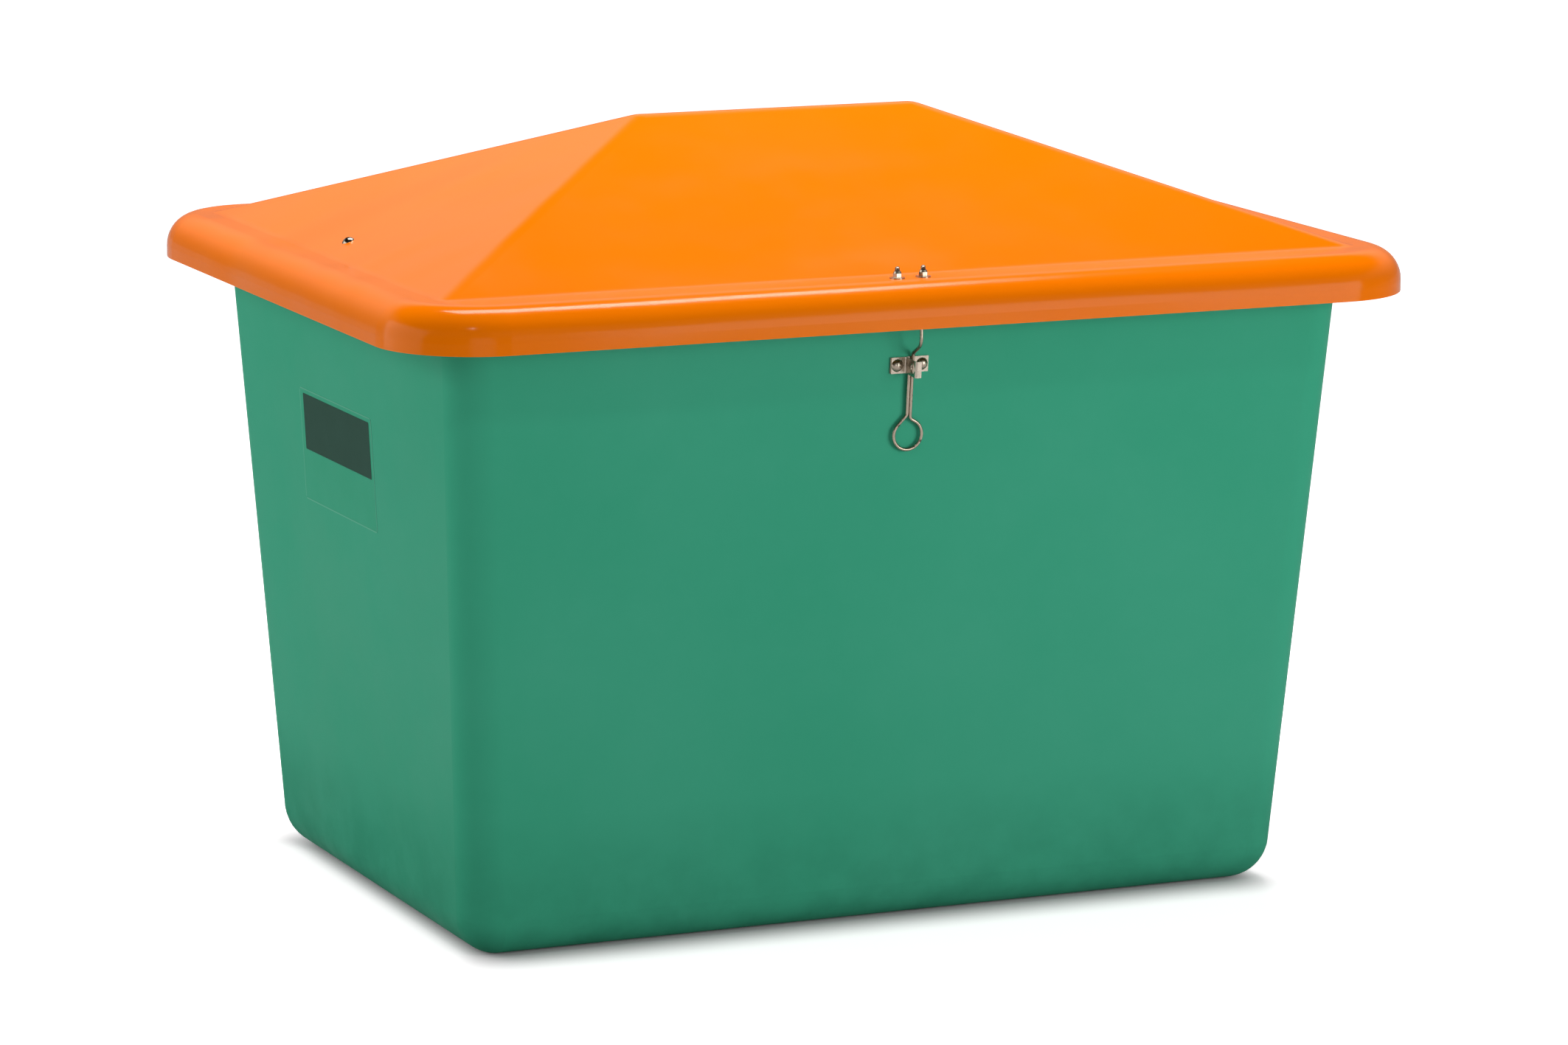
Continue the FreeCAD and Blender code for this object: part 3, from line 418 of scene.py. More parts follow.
    @staticmethod
    def strands(sheet: Sheet, given: Any) -> dict[str, Any]:
        """Chopped glass strands that lie every way in the laminate's bare side.

        Args:
            sheet: the group's sheet.
            given: the group's inputs.

        Returns:
            What each output takes.
        """
        slender = (1.0, 0.09, 0.5)
        turns = ((0, 0, 15), (35, 20, 80), (70, -35, 130), (20, 75, -60))
        lump_scale = sheet.times(given["Scale"], 0.4)
        total: Any = 0.0
        for turn in turns:
            drawn = sheet.stretched(given["Position"], slender, turn)
            lines = sheet.noise(drawn, given["Scale"], detail=2.0, roughness=0.55)
            total = sheet.calc("MAXIMUM", total, sheet.spread(lines, low=0.52, high=0.72))
        lumps = sheet.noise(given["Position"], lump_scale, detail=3.0, roughness=0.5)
        return {"Mask": total, "Height": sheet.plus(total, lumps)}

    @staticmethod
    def grain(sheet: Sheet, given: Any) -> dict[str, Any]:
        """The faint drawn grain of stainless wire and strip.

        Args:
            sheet: the group's sheet.
            given: the group's inputs.

        Returns:
            What each output takes.
        """
        slender = (1.0, 1.0, 0.05)
        stain_scale = sheet.times(given["Scale"], 0.12)
        drawn = sheet.stretched(given["Position"], slender)
        lines = sheet.noise(drawn, given["Scale"], detail=3.0, roughness=0.6)
        stains = sheet.noise(given["Position"], stain_scale, detail=3.0, roughness=0.6)
        mean = sheet.times(sheet.plus(lines, stains), 0.5, clamp=True)
        span = sheet.calc("SUBTRACT", given["High"], given["Low"])
        rise = sheet.times(sheet.spread(mean, low=0.35, high=0.65), span)
        return {"Roughness": sheet.plus(given["Low"], rise), "Height": lines}

    @staticmethod
    def nicks(sheet: Sheet, given: Any) -> dict[str, Any]:
        """Small dark nicks where metal has knocked on metal.

        Args:
            sheet: the group's sheet.
            given: the group's inputs.

        Returns:
            What each output takes.
        """
        patch_scale = sheet.times(given["Scale"], 0.3)
        cells = sheet.put("TexVoronoi")
        sheet.feed(cells, "Vector", given["Position"])
        sheet.feed(cells, "Scale", given["Scale"])
        dot = sheet.spread(cells.outputs["Distance"], low=0.12, high=0.3, to_low=1.0, to_high=0.0)
        patches = sheet.noise(given["Position"], patch_scale, detail=2.0, roughness=0.5)
        where = sheet.spread(patches, low=0.52, high=0.64)
        return {"Mask": sheet.times(sheet.times(dot, where), given["Amount"], clamp=True)}

    @staticmethod
    def dent(sheet: Sheet, given: Any) -> dict[str, Any]:
        """One pressed spot, such as a bending tool leaves.

        Args:
            sheet: the group's sheet.
            given: the group's inputs.

        Returns:
            What each output takes.
        """
        middle = sheet.put("CombineXYZ")
        for axis in "XYZ":
            sheet.feed(middle, axis, given[axis])
        away = sheet.vector("DISTANCE", given["Position"], middle.outputs[0])
        share = sheet.calc("DIVIDE", away.outputs["Value"], given["Reach"])
        return {"Mask": sheet.spread(share, low=0.3, high=1.0, to_low=1.0, to_high=0.0)}

    @staticmethod
    def border(sheet: Sheet, given: Any) -> dict[str, Any]:
        """A paler band along a film's edge, all round.

        Args:
            sheet: the group's sheet.
            given: the group's inputs.

        Returns:
            What each output takes.
        """
        place = sheet.axes(given["Position"])
        inset: Any = 1.0
        for axis in "YZ":
            off = sheet.calc("ABSOLUTE", sheet.calc("SUBTRACT", place[axis], given[f"Middle {axis}"]), 0.0)
            inset = sheet.calc("MINIMUM", inset, sheet.calc("SUBTRACT", given[f"Half {axis}"], off))
        share = sheet.calc("DIVIDE", inset, given["Band"])
        return {"Mask": sheet.spread(share, low=0.6, high=1.0, to_low=1.0, to_high=0.0)}


class Coat(Sheet):
    """The sheet of one material, with its shader and the coordinates that its effects read."""

    def __init__(self, name: str, shop: EffectShop) -> None:
        """Start a new material.

        Args:
            name: the finish's name.
            shop: the shared effects.
        """
        self.material = bpy.data.materials.new(name)
        self.material.use_nodes = True
        super().__init__(self.material.node_tree)
        self.shop = shop
        self.shader = self.put("BsdfPrincipled")
        self.feed(self.put("OutputMaterial"), "Surface", self.shader.outputs[0])
        self.position = self.put("TexCoord").outputs["Object"]

    def effect(self, effect: Effect, **values: Any) -> Any:
        """Put one shared effect in the material.

        Args:
            effect: which effect.
            values: what its inputs take, with _ for a space in a name.

        Returns:
            The effect's outputs.
        """
        node = self.put("Group", node_tree=self.shop.groups[effect])
        for name, value in {"Position": self.position, **values}.items():
            self.feed(node, name.replace("_", " "), value)
        return node.outputs

    def give(self, socket: str, value: Any) -> None:
        """Give one of the shader's inputs a plain value or an output."""
        self.feed(self.shader, socket, value)

    def bump(self, height: Socket, depth: float, strength: float) -> None:
        """Turn a height into the shader's normal.

        Args:
            height: the height's socket.
            depth: what a height of one is in metres.
            strength: share of the effect.
        """
        node = self.put("Bump")
        for socket, value in {"Height": height, "Distance": depth, "Strength": strength}.items():
            self.feed(node, socket, value)
        self.give("Normal", node.outputs[0])


@dataclass(frozen=True)
class GelCoat:
    """A glossy pigmented gel coat on a hand-laid shell."""

    name: str
    colour: Triple
    pale: Triple
    # colour of the dust and painted shade near the ground
    dust_and_shade: Triple
    drift: float
    gloss: float
    roughness: float
    wave_scale: float
    wave_depth: float
    dust_and_shade_reach: float
    cloud_scale: float = 2.3
    dust_and_shade_share: float = 0.55
    scuff_scale: float = 14.0
    scuff_share: float = 0.15
    wave_stretch: Triple = (0.5, 1.0, 1.0)
    peel_scale: float = 420.0
    peel_share: float = 0.002
    patch_scale: float = 5.0
    smoothest: float = 0.85
    roughest: float = 1.25
    scuffs_dull: float = 0.25
    dust_dulls: float = 0.3

    def make(self, shop: EffectShop) -> Material:
        """Build the material.

        Args:
            shop: the shared effects.

        Returns:
            The material.
        """
        coat = Coat(self.name, shop)
        drift = coat.effect(Effect.PIGMENT, Colour=self.colour, Pale=self.pale, Scale=self.cloud_scale,
                            Amount=self.drift)
        # darker towards the ground: dust, with painted shade where the floor shades the shell
        low = coat.effect(Effect.DUST_AND_SHADE, Colour=drift["Colour"], Grime=self.dust_and_shade, Reach=self.dust_and_shade_reach,
                          Amount=self.dust_and_shade_share)
        scuffs = coat.effect(Effect.SCUFF, Scale=self.scuff_scale, Amount=self.scuff_share)
        along = coat.stretched(coat.position, self.wave_stretch)
        ripple = coat.effect(Effect.RIPPLE, Position=along, Wave=1.0, Wave_Scale=self.wave_scale,
                             Peel=self.peel_share, Peel_Scale=self.peel_scale)
        patches = coat.noise(coat.position, self.patch_scale, detail=4.0, roughness=0.6)
        rough = coat.spread(patches, low=0.3, high=0.7, to_low=self.roughness * self.smoothest,
                            to_high=self.roughness * self.roughest)
        worn = coat.plus(rough, coat.times(scuffs["Mask"], self.scuffs_dull))
        coat.give("Base Color", low["Colour"])
        coat.give("Roughness", coat.plus(worn, coat.times(low["Mask"], self.dust_dulls)))
        coat.give("Specular IOR Level", self.gloss)
        coat.bump(ripple["Height"], self.wave_depth, strength=1.0)
        return coat.material


@dataclass(frozen=True)
class BareLaminate:
    """The rough inner side of the shell, where the glass strands show."""

    name: str
    colour: Triple
    strand: Triple
    strand_scale: float = 70.0
    strand_share: float = 0.4
    cloud_scale: float = 5.0
    cloud_share: float = 0.6
    paler: float = 1.35
    lightened: float = 0.01
    resin_roughness: float = 0.62
    strand_roughness: float = 0.42
    gloss: float = 0.35
    depth: float = 0.0012
    strength: float = 0.8

    def make(self, shop: EffectShop) -> Material:
        """Build the material.

        Args:
            shop: the shared effects.

        Returns:
            The material.
        """
        coat = Coat(self.name, shop)
        strands = coat.effect(Effect.STRANDS, Scale=self.strand_scale)
        pale = tuple(min(1.0, part * self.paler + self.lightened) for part in self.colour)
        drift = coat.effect(Effect.PIGMENT, Colour=self.colour, Pale=pale, Scale=self.cloud_scale,
                            Amount=self.cloud_share)
        share = coat.times(strands["Mask"], self.strand_share)
        rough = coat.spread(strands["Mask"], 0.0, 1.0, self.resin_roughness, self.strand_roughness)
        coat.give("Base Color", coat.blend(share, drift["Colour"], self.strand))
        coat.give("Roughness", rough)
        coat.give("Specular IOR Level", self.gloss)
        coat.bump(strands["Height"], self.depth, self.strength)
        return coat.material


@dataclass(frozen=True)
class Stainless:
    """Warm stainless steel with a drawn grain, dull stains and small nicks."""

    name: str
    colour: Triple
    stain: Triple
    low: float
    high: float
    nicked: float
    thread: bool = False
    dents: tuple[Triple, ...] = ()
    grain_scale: float = 900.0
    grain_depth: float = 0.00008
    grain_strength: float = 0.6
    nick_scale: float = 260.0
    nick_depth: float = 4.0
    stain_scale: float = 60.0
    stain_share: float = 0.5
    darker: float = 0.35
    dent_reach: float = 0.0028
    thread_scale: float = 314.0
    thread_depth: float = 0.0005

    def make(self, shop: EffectShop) -> Material:
        """Build the material.

        Args:
            shop: the shared effects.

        Returns:
            The material.
        """
        coat = Coat(self.name, shop)
        grain = coat.effect(Effect.GRAIN, Scale=self.grain_scale, Low=self.low, High=self.high)
        nicks = coat.effect(Effect.NICKS, Scale=self.nick_scale, Amount=self.nicked)
        drift = coat.effect(Effect.PIGMENT, Colour=self.colour, Pale=self.stain, Scale=self.stain_scale,
                            Amount=self.stain_share)
        dark = tuple(part * self.darker for part in self.stain)
        worn = nicks["Mask"]
        for x, y, z in self.dents:
            dent = coat.effect(Effect.DENT, X=x, Y=y, Z=z, Reach=self.dent_reach)
            worn = coat.calc("MAXIMUM", worn, dent["Mask"])
        coat.give("Base Color", coat.blend(worn, drift["Colour"], dark))
        coat.give("Roughness", grain["Roughness"])
        coat.give("Metallic", 1.0)
        if self.thread:
            turns = coat.put("TexWave", bands_direction="Z")
            coat.feed(turns, "Vector", coat.position)
            coat.feed(turns, "Scale", self.thread_scale)
            coat.bump(turns.outputs["Fac"], self.thread_depth, strength=1.0)
        else:
            pressed = coat.times(coat.calc("SUBTRACT", 1.0, worn), self.nick_depth)
            coat.bump(coat.plus(grain["Height"], pressed), self.grain_depth, self.grain_strength)
        return coat.material


@dataclass(frozen=True)
class SatinFilm:
    """A thin satin film, slightly uneven where it was smoothed down."""

    name: str
    colour: Triple
    pale: Triple
    roughness: float
    lightened: Triple | None = None
    border_band: float = 0.0016
    cloud_scale: float = 16.0
    cloud_share: float = 0.5
    scuff_scale: float = 30.0
    scuff_share: float = 0.5
    scuffs_dull: float = 0.2
    wave_scale: float = 30.0
    wave_share: float = 0.6
    peel_scale: float = 900.0
    peel_share: float = 0.1
    gloss: float = 0.02
    depth: float = 0.0004
    strength: float = 0.5

    def make(self, shop: EffectShop) -> Material:
        """Build the material.

        Args:
            shop: the shared effects.

        Returns:
            The material.
        """
        coat = Coat(self.name, shop)
        drift = coat.effect(Effect.PIGMENT, Colour=self.colour, Pale=self.pale, Scale=self.cloud_scale,
                            Amount=self.cloud_share)
        colour = drift["Colour"]
        # a paler band along the film's edge, all round
        if self.lightened:
            low, high = (Vector(corner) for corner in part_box("label_film"))
            middle = (low + high) / 2
            half = (high - low) / 2
            border = coat.effect(Effect.BORDER, Middle_Y=middle.y, Middle_Z=middle.z, Half_Y=half.y,
                                 Half_Z=half.z, Band=self.border_band)
            colour = coat.blend(border["Mask"], colour, self.lightened)
        scuffs = coat.effect(Effect.SCUFF, Scale=self.scuff_scale, Amount=self.scuff_share)
        ripple = coat.effect(Effect.RIPPLE, Wave=self.wave_share, Wave_Scale=self.wave_scale,
                             Peel=self.peel_share, Peel_Scale=self.peel_scale)
        coat.give("Base Color", colour)
        coat.give("Roughness", coat.plus(self.roughness, coat.times(scuffs["Mask"], self.scuffs_dull)))
        coat.give("Specular IOR Level", self.gloss)
        coat.bump(ripple["Height"], self.depth, self.strength)
        return coat.material


def only(piece: Piece | None) -> None:
    """Select one piece and nothing else.

    Args:
        piece: the piece, or None to select nothing at all.
    """
    bpy.ops.object.select_all(action="DESELECT")
    if piece:
        piece.select_set(True)
        bpy.context.view_layer.objects.active = piece


def close_mesh() -> None:
    """Turn the edited mesh's faces outwards and leave edit mode."""
    bpy.ops.mesh.select_all(action="SELECT")
    bpy.ops.mesh.normals_make_consistent(inside=False)
    bpy.ops.object.mode_set(mode="OBJECT")


def settle(piece: Piece, place: Matrix) -> None:
    """Put a new piece in its place, in its mesh's own coordinates.

    Args:
        piece: the piece, modelled at the origin.
        place: where it goes.
    """
    piece.matrix_world = place
    only(piece)
    bpy.ops.object.transform_apply(location=True, rotation=True, scale=True)


def finish_with(piece: Piece, *materials: Material) -> None:
    """Give a piece its materials, one slot each.

    Args:
        piece: the piece.
        materials: its finishes in slot order.
    """
    piece.data.materials.clear()
    for material in materials:
        piece.data.materials.append(material)


@dataclass
class Finishes:
    """Every finish of the bin, made once."""

    shop: EffectShop
    made: dict[str, Material] = field(default_factory=dict)

    def build(self) -> None:
        """Make each material."""
        kinds = (
            # the third colour of each gel coat is its dust and painted shade near the ground
            GelCoat("tub gel coat", srgb(65, 173, 137), srgb(76, 178, 145), srgb(44, 128, 100), drift=0.6,
                    gloss=0.01, roughness=0.36, wave_scale=2.6, wave_depth=0.006, dust_and_shade_reach=0.18),
            GelCoat("lid gel coat", srgb(255, 124, 0), srgb(255, 129, 0), srgb(236, 114, 4), drift=0.5,
                    gloss=0.088, roughness=0.16, wave_scale=5.0, wave_depth=0.009, dust_and_shade_reach=0.02),
            BareLaminate("tub laminate", srgb(44, 140, 108), srgb(120, 176, 150)),
            BareLaminate("lid laminate", srgb(240, 132, 28), srgb(250, 186, 110)),
            Stainless(STRIP, srgb(182, 173, 158), srgb(148, 138, 121), low=0.2, high=0.36, nicked=0.5),
            Stainless(WIRE, srgb(168, 157, 140), srgb(132, 120, 103), low=0.16, high=0.3, nicked=0.8,
                      dents=((-0.01746, -0.41257, 0.62976), (0.01178, -0.41103, 0.6096))),
            Stainless(BOLT, srgb(164, 154, 138), srgb(128, 118, 102), low=0.14, high=0.3, nicked=0.4),
            Stainless(THREAD, srgb(168, 158, 143), srgb(130, 120, 106), low=0.18, high=0.32, nicked=0.2,
                      thread=True),
            SatinFilm("label film", srgb(60, 170, 133), srgb(68, 175, 140), roughness=0.42,
                      lightened=srgb(104, 186, 158)),
            SatinFilm("label panel", srgb(47, 80, 68), srgb(52, 86, 74), roughness=0.5))
        for kind in kinds:
            self.made[kind.name] = kind.make(self.shop)

    def __getitem__(self, name: str) -> Material:
        """The finish of that name."""
        return self.made[name]


class Side(Enum):
    """The side of a shell that a face belongs to, which is also its material slot."""

    OUTSIDE = 0
    INSIDE = 1


@dataclass
class Shell:
    """A moulded shell: gel coat outside, bare laminate inside.

    Faces that look inwards are inside, and so are those that look down from a roof or up from a floor.
    """

    node: str
    outside: str
    inside: str
    roofed: bool
    floor_level: float = 0.03
    inward: float = -0.05
    downward: float = -0.3
    upward: float = 0.6
    nearest: float = 0.000001

    def dress(self, nodes: dict[str, Piece], finishes: Finishes) -> list[Piece]:
        """Give each side of the shell its finish.

        Args:
            nodes: the frame's pieces.
            finishes: every finish.

        Returns:
            The shell.
        """
        piece = nodes[self.node]
        finish_with(piece, finishes[self.outside], finishes[self.inside])
        for face in piece.data.polygons:
            face.material_index = self.side_of(face.center, face.normal).value
        return [piece]

    def side_of(self, centre: Vector, normal: Vector) -> Side:
        """The side that a face lies on.

        Args:
            centre: the face's middle.
            normal: the face's normal.

        Returns:
            The side.
        """
        reach = max(math.hypot(centre.x, centre.y), self.nearest)
        outward = (normal.x * centre.x + normal.y * centre.y) / reach
        if self.roofed:
            covered = normal.z < self.downward
        else:
            covered = normal.z > self.upward and centre.z < self.floor_level
        return Side.INSIDE if covered or outward < self.inward else Side.OUTSIDE


@dataclass
class Hardware:
    """A set of steel pieces, each with the finish of its kind."""

    finish_of: dict[str, str]

    def dress(self, nodes: dict[str, Piece], finishes: Finishes) -> list[Piece]:
        """Finish each piece of the set.

        Args:
            nodes: the frame's pieces.
            finishes: every finish.

        Returns:
            The pieces.
        """
        for node, finish in self.finish_of.items():
            finish_with(nodes[node], finishes[finish])
        return [nodes[node] for node in self.finish_of]


@dataclass
class OpenedBracket:
    """The lid's bracket with a wider eye and rounded rims, so that the wire swings free in it."""

    body: str = "lid"
    node: str = "latch_bracket"
    finish: str = STRIP
    slot: str = "stainless"
    plate: float = 0.002
    ear_half: float = 0.007
    eye_across: float = -0.006
    eye_radius: float = 0.005
    rim: float = 0.0008
    rim_steps: int = 6
    over: float = 0.001
    around: int = 64
    smooth_under: float = 30.0
    merge: float = 0.000001

    def dress(self, nodes: dict[str, Piece], finishes: Finishes) -> list[Piece]:
        """Model the bracket in its node's place and finish it.

        Args:
            nodes: the frame's pieces.
            finishes: every finish.

        Returns:
            The bracket.
        """
        bracket = self.merged(nodes[self.node])
        cutter = self.cutter()
        only(bracket)
        cut = bracket.modifiers.new("eye", "BOOLEAN")
        cut.operation = "DIFFERENCE"
        cut.solver = "EXACT"
        cut.object = cutter
        bpy.ops.object.modifier_apply(modifier=cut.name)
        bpy.data.objects.remove(cutter)
        bpy.ops.object.shade_smooth_by_angle(angle=math.radians(self.smooth_under))
        finish_with(bracket, finishes[self.finish])
        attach(bracket, self.body)
        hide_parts(self.node)
        return [bracket]

    def merged(self, node: Piece) -> Piece:
        """Copy the node's mesh and join its loose triangles.

        Args:
            node: the frame's bracket.

        Returns:
            The copy, a closed shape.
        """
        bracket = bpy.data.objects.new(f"{self.node}_opened", node.data.copy())
        bpy.context.collection.objects.link(bracket)
        only(bracket)
        bpy.ops.mesh.customdata_custom_splitnormals_clear()
        bpy.ops.object.mode_set(mode="EDIT")
        bpy.ops.mesh.select_all(action="SELECT")
        bpy.ops.mesh.remove_doubles(threshold=self.merge)
        bpy.ops.object.mode_set(mode="OBJECT")
        return bracket

    def profile(self) -> list[tuple[float, float]]:
        """Follow the eye through the plate, with an arc at each rim.

        Returns:
            Levels and radii from one side to the other.
        """
        half = self.plate / 2
        steps = range(self.rim_steps + 1)
        outer = []
        for turn in (math.pi / 2 * step / self.rim_steps for step in steps):
            level = half - self.rim + self.rim * math.sin(turn)
            outer.append((level, self.eye_radius + self.rim - self.rim * math.cos(turn)))
        outer.append((half + self.over, self.eye_radius + self.rim))
        return [(-level, radius) for level, radius in reversed(outer)] + outer

    def cutter(self) -> Piece:
        """Extrude and scale a disc along the eye's profile and turn it across the ear.

        Returns:
            The shape that the eye is cut with.
        """
        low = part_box(self.node)[0]
        centre = Vector((self.eye_across, low[1] + self.plate / 2, low[2] + self.ear_half))
        levels = self.profile()
        level, radius = levels[0]
        only(None)
        bpy.ops.mesh.primitive_circle_add(vertices=self.around, radius=radius, fill_type="NGON")
        cutter = bpy.context.object
        bpy.ops.object.mode_set(mode="EDIT")
        bpy.ops.mesh.select_all(action="SELECT")
        bpy.ops.transform.translate(value=(0, 0, level))
        for next_level, next_radius in levels[1:]:
            bpy.ops.mesh.extrude_region_move(TRANSFORM_OT_translate={"value": (0, 0, next_level - level)})
            share = next_radius / radius
            bpy.ops.transform.resize(value=(share, share, 1), center_override=(0, 0, 0))
            level, radius = next_level, next_radius
        close_mesh()
        settle(cutter, Matrix.Translation(centre) @ Matrix.Rotation(math.pi / 2, 4, "X"))
        return cutter


@dataclass
class Label:
    """The bare film on the left wall, with a plain dark panel on its upper half."""

    body: str = "tub"
    node: str = "label_film"
    panel_length: float = 0.236
    panel_height: float = 0.0708
    panel_thickness: float = 0.0002
    panel_corner: float = 0.0015
    corner_steps: int = 5
    panel_shift: float = 0.002
    panel_drop: float = 0.006
    proud: float = 0.00002
    facing_left: float = -0.9

    def dress(self, nodes: dict[str, Piece], finishes: Finishes) -> list[Piece]:
        """Finish the film and lay the panel on it.

        Args:
            nodes: the frame's pieces.
            finishes: every finish.

        Returns:
            The film and the panel.
        """
        film = nodes[self.node]
        finish_with(film, finishes["label film"])
        panel = self.panel(film)
        finish_with(panel, finishes["label panel"])
        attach(panel, self.body)
        return [film, panel]

    def panel(self, film: Piece) -> Piece:
        """Model the panel flat, with rounded corners, and lay it on the film's outer face.

        Args:
            film: the frame's film.

        Returns:
            The panel.
        """
        only(None)
        bpy.ops.mesh.primitive_plane_add(size=1)
        panel = bpy.context.object
        panel.name = "label_panel"
        bpy.ops.object.mode_set(mode="EDIT")
        bpy.ops.mesh.select_all(action="SELECT")
        bpy.ops.transform.resize(value=(self.panel_length, self.panel_height, 1))
        bpy.ops.mesh.bevel(offset=self.panel_corner, segments=self.corner_steps, affect="VERTICES")
        bpy.ops.mesh.select_all(action="SELECT")
        bpy.ops.mesh.extrude_region_move(TRANSFORM_OT_translate={"value": (0, 0, self.panel_thickness)})
        close_mesh()
        settle(panel, self.panel_place(film))
        return panel

    def panel_place(self, film: Piece) -> Matrix:
        """Where the panel lies on the leaning film.

        Args:
            film: the frame's film.

        Returns:
            The panel's place, its length along the wall and its height up the film.
        """
        leftward = [face for face in film.data.polygons if face.normal.x < self.facing_left]
        outer = max(leftward, key=lambda face: face.area)
        out = outer.normal.normalized()
        along = Vector((0.0, -1.0, 0.0))
        up = out.cross(along).normalized()
        low, high = (Vector(corner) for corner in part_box(self.node))
        middle = (low + high) / 2
        middle += out * ((outer.center - middle).dot(out) + self.proud)
        reach = (high.z - low.z) / up.z / 2
        centre = middle + up * (reach - self.panel_drop - self.panel_height / 2) + along * self.panel_shift
        return Matrix.Translation(centre) @ Matrix((along, up, out)).transposed().to_4x4()


@dataclass(frozen=True)
class Softbox:
    """One soft rectangular lamp."""

    name: str
    place: Triple
    aim: Triple
    width: float
    height: float
    watts: float

    def hang(self) -> None:
        """Hang the lamp, facing its aim."""
        bpy.ops.object.light_add(type="AREA", location=self.place)
        lamp = bpy.context.object
        lamp.name = self.name
        lamp.rotation_euler = (Vector(self.aim) - Vector(self.place)).to_track_quat("-Z", "Y").to_euler()
        lamp.data.shape = "RECTANGLE"
        lamp.data.size = self.width
        lamp.data.size_y = self.height
        lamp.data.energy = self.watts


@dataclass
class Studio:
    """White sweep, soft lamps and the camera."""

    target: Triple = (0.01486, 0.0, 0.43729)
    azimuth: float = -23.87
    elevation: float = 10.76
    roll: float = 0.31
    distance: float = 7.92895
    focal_px: float = 8487.56
    frame_px: float = 2126.0
    sensor: float = 36.0
    view_end: float = 200.0
    floor_size: float = 80.0
    floor_drop: float = 0.0004
    floor_white: Triple = (1.0, 0.9, 0.94)
    floor_bounce: float = 0.38
    mirrored_white: float = 0.65
    mirrored_glow: float = 0.35
    # the floor's glow fades to nothing at the bin's foot, a painted shadow that the settings below shape
    glow: float = 0.75
    painted_shadow_reach: tuple[float, float] = (0.0, 0.2)
    far_glow: float = 0.35
    far_reach: tuple[float, float] = (0.5, 7.0)
    base_half: Triple = (0.475, 0.273, 10.0)
    base_corner: float = 0.033
    front_gain: float = 1.9
    side_gain: float = 2.7
    side_power: float = 5.0
    sky: float = 0.37
    mirrored: float = 0.7
    horizon: float = 0.33
    zenith: float = 0.02
    rising: tuple[float, float] = (0.12, 0.42)
    falling: tuple[float, float] = (0.42, 0.64)
    dim_side: Triple = (-0.62, -0.78, 0.05)
    dim_reach: tuple[float, float] = (0.55, 0.98)
    dim_share: float = 0.35
    lamps: tuple[Softbox, ...] = (
        Softbox("edge strip", (0.38, 0.66, 3.5), (0.38, -0.4, 0.8), 2.1, 0.85, 112.0),
        Softbox("key box right", (2.1, -3.7, 0.95), (0.2, -0.4, 0.5), 2.4, 1.8, 70.0),
        Softbox("side box left", (-3.6, 0.7, 1.3), (-0.5, 0.0, 0.4), 4.2, 2.4, 64.0),
        Softbox("front box", (-1.3, -4.3, 0.9), (0.0, -0.4, 0.5), 1.9, 1.6, 16.0),
        Softbox("corner glint", (-1.7, -3.1, 3.6), (-0.59, -0.48, 0.79), 0.3, 0.3, 10.0))

    def build(self) -> None:
        """Set floor, sky, lamps and camera."""
        self.floor()
        self.world()
        for lamp in self.lamps:
            lamp.hang()
        self.camera()

    def floor(self) -> None:
        """Lay a wide white floor that keeps the bin's soft shadow, deepened by a painted shadow around its
        foot.
        """
        only(None)
        bpy.ops.mesh.primitive_plane_add(size=self.floor_size)
        floor = bpy.context.object
        floor.name = "studio_floor"
        settle(floor, Matrix.Translation((0.0, 0.0, -self.floor_drop)))
        floor.data.materials.append(self.floor_material())

    def floor_material(self) -> Material:
        """A matt white that glows more the farther it lies from the bin, so that its fading glow paints a
        shadow around the bin's foot, and lights the bin little.

        Returns:
            The material.
        """
        material = bpy.data.materials.new("studio white")
        material.use_nodes = True
        sheet = Sheet(material.node_tree)
        output = sheet.put("OutputMaterial")
        matt = sheet.put("BsdfDiffuse")
        glow = sheet.put("Emission")
        both = sheet.put("AddShader")
        seen, by_camera = self.seen(sheet)
        white = sheet.times(seen, sheet.spread(by_camera, 0.0, 1.0, self.mirrored_white, 1.0))
        sheet.feed(matt, "Color", sheet.blend(white, (self.floor_bounce,) * 3, self.floor_white))
        # no glow at the bin's foot, rising outwards: a painted shadow
        far = self.beyond_base(sheet)
        amount = sheet.plus(sheet.spread(far, *self.painted_shadow_reach, 0.0, self.glow),
                            sheet.spread(far, *self.far_reach, 0.0, self.far_glow))
        share = sheet.spread(by_camera, 0.0, 1.0, self.mirrored_glow, 1.0)
        sheet.feed(glow, "Strength", sheet.times(sheet.times(seen, amount), share))
        sheet.feed(both, 0, matt.outputs[0])
        sheet.feed(both, 1, glow.outputs[0])
        sheet.feed(output, "Surface", both.outputs[0])
        return material

    def beyond_base(self, sheet: Sheet) -> Socket:
        """Distance from the bin's foot, counted faster straight out from its ends, so that the painted shadow
        is shorter at the ends than in front.

        Args:
            sheet: the floor's sheet.

        Returns:
            The distance's socket.
        """
        across = sheet.vector("ABSOLUTE", sheet.put("TexCoord").outputs["Object"])
        past = sheet.vector("SUBTRACT", across.outputs[0], self.base_half)
        outside = sheet.vector("MAXIMUM", past.outputs[0]).outputs[0]
        way = sheet.axes(sheet.vector("NORMALIZE", outside).outputs[0])
        length = sheet.vector("LENGTH", outside).outputs["Value"]
        away = sheet.calc("MAXIMUM", sheet.calc("SUBTRACT", length, self.base_corner), 0.0)
        sideways = sheet.times(sheet.calc("POWER", way["X"], self.side_power), self.side_gain)
        return sheet.times(away, sheet.plus(self.front_gain, sideways))

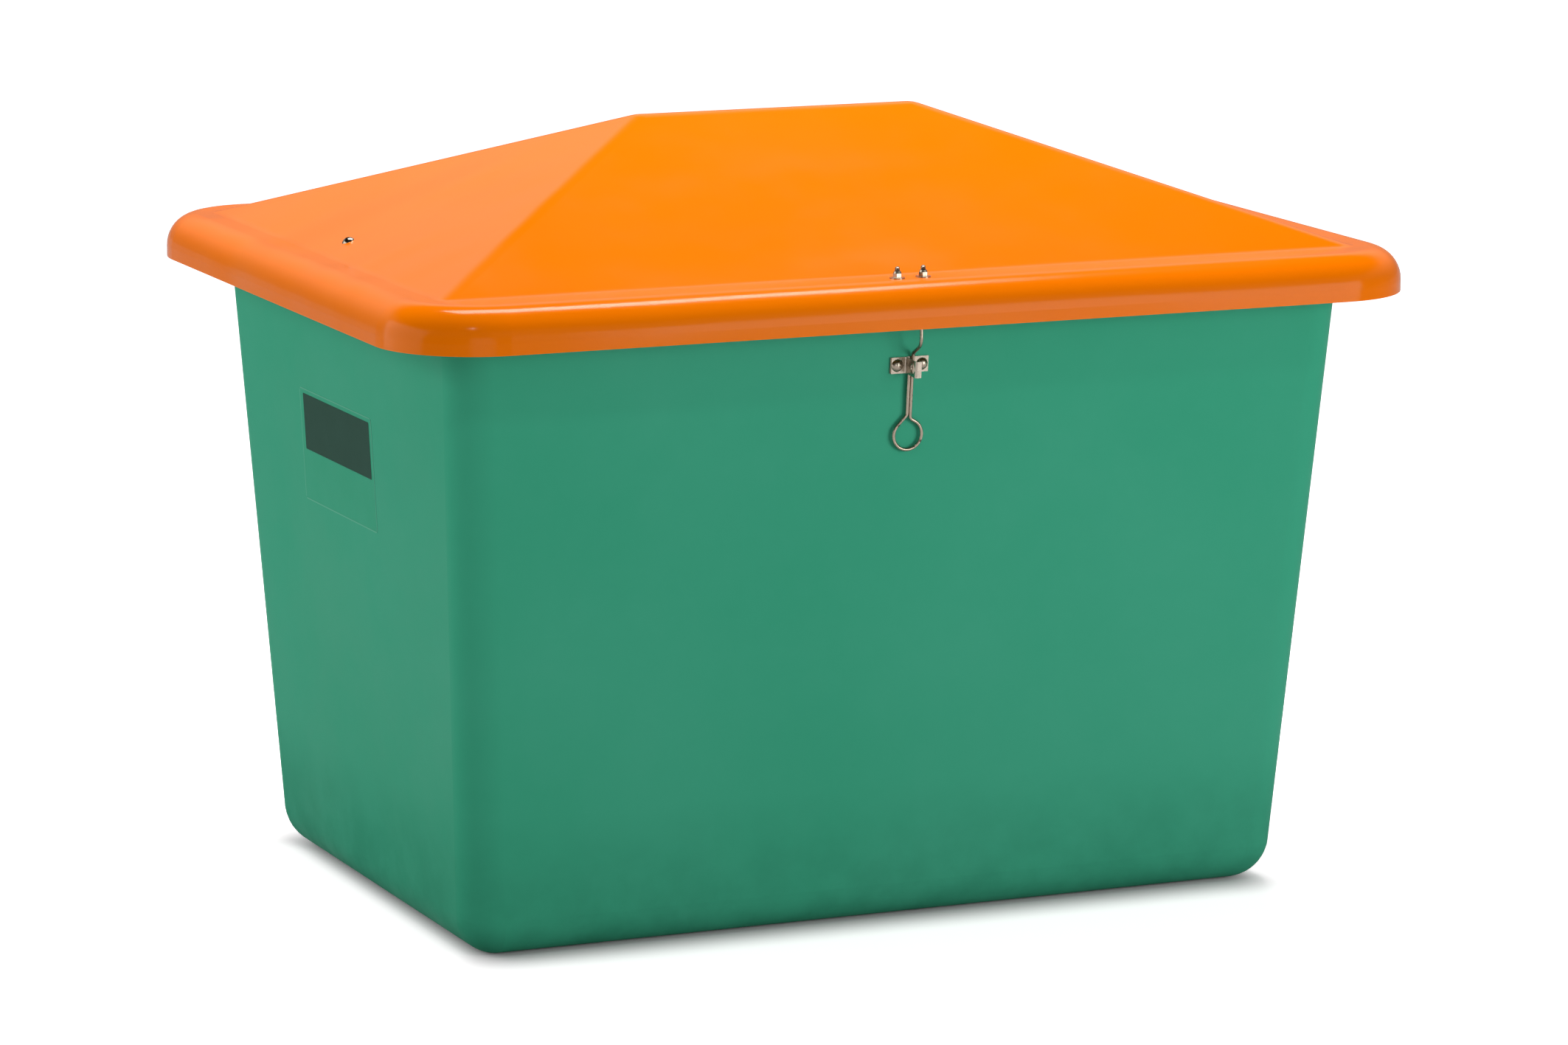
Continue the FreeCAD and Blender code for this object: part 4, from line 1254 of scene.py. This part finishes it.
    @staticmethod
    def seen(sheet: Sheet) -> tuple[Socket, Socket]:
        """Tell rays that look, also by a gloss or through a clear material, from rays that only gather light.

        Args:
            sheet: the sheet to lay the nodes on.

        Returns:
            Two sockets of 0 or 1: for any ray that looks, and for one from the camera alone.
        """
        rays = sheet.put("LightPath").outputs
        gloss = sheet.calc("MAXIMUM", rays["Is Glossy Ray"], rays["Is Transmission Ray"])
        by_camera = rays["Is Camera Ray"]
        return sheet.calc("MAXIMUM", by_camera, gloss), by_camera

    def world(self) -> None:
        """A sky that is white to the camera.

        To the bin it is dim at the horizon, bright at a slant, almost dark overhead and dimmer on one side.
        """
        world = bpy.data.worlds.new("studio sky")
        bpy.context.scene.world = world
        world.use_nodes = True
        sheet = Sheet(world.node_tree)
        output = sheet.put("OutputWorld")
        sky = sheet.put("Background")
        sheet.feed(sky, "Color", (1.0, 1.0, 1.0))
        way = sheet.put("TexCoord").outputs["Generated"]
        level = sheet.axes(way)["Z"]
        band = sheet.times(sheet.spread(level, *self.rising, self.horizon, 1.0),
                           sheet.spread(level, *self.falling, 1.0, self.zenith))
        toward = sheet.vector("DOT_PRODUCT", way, Vector(self.dim_side).normalized()).outputs["Value"]
        room = sheet.times(band, sheet.spread(toward, *self.dim_reach, 1.0, self.dim_share))
        seen, by_camera = self.seen(sheet)
        lit = sheet.times(room, sheet.plus(sheet.times(seen, self.mirrored - self.sky), self.sky))
        sheet.feed(sky, "Strength", sheet.calc("MAXIMUM", lit, by_camera))
        sheet.feed(output, "Surface", sky.outputs[0])

    def camera(self) -> None:
        """Place the camera at the photograph's angle."""
        azimuth, elevation, roll = map(math.radians, (self.azimuth, self.elevation, self.roll))
        flat = math.cos(elevation)
        back = Vector((math.sin(azimuth) * flat, -math.cos(azimuth) * flat, math.sin(elevation)))
        right = (-back).cross(Vector((0, 0, 1))).normalized()
        up = right.cross(-back)
        turned_right = right * math.cos(roll) + up * math.sin(roll)
        turned_up = up * math.cos(roll) - right * math.sin(roll)
        bpy.ops.object.camera_add()
        camera = bpy.context.object
        camera.name = "studio camera"
        basis = Matrix((turned_right, turned_up, back)).transposed().to_4x4()
        camera.matrix_world = Matrix.Translation(Vector(self.target) + back * self.distance) @ basis
        camera.data.sensor_fit = "HORIZONTAL"
        camera.data.sensor_width = self.sensor
        camera.data.lens = self.focal_px / self.frame_px * self.sensor
        camera.data.clip_end = self.view_end
        bpy.context.scene.camera = camera


def main() -> None:
    """Dress the bin and set the studio."""
    logging.basicConfig(level=logging.INFO, format="%(message)s")
    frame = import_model()
    nodes = frame["nodes"]
    bpy.context.scene.view_settings.view_transform = "Standard"
    finishes = Finishes(EffectShop())
    finishes.build()
    assemblies = (
        Shell("tub", "tub gel coat", "tub laminate", roofed=False),
        Shell("lid", "lid gel coat", "lid laminate", roofed=True),
        Hardware(KEEPER),
        Hardware(LATCH),
        OpenedBracket(),
        Hardware(BACK_HINGES),
        Hardware(CORD_EYES),
        Label())
    dressed = []
    for assembly in assemblies:
        names = [piece.name for piece in assembly.dress(nodes, finishes)]
        dressed += names
        LOG.info("%s: %s", type(assembly).__name__, ", ".join(names))
    LOG.info("pieces without a finish: %s", sorted(set(nodes) - set(dressed)) or "none")
    Studio().build()


if __name__ == "__main__":
    main()
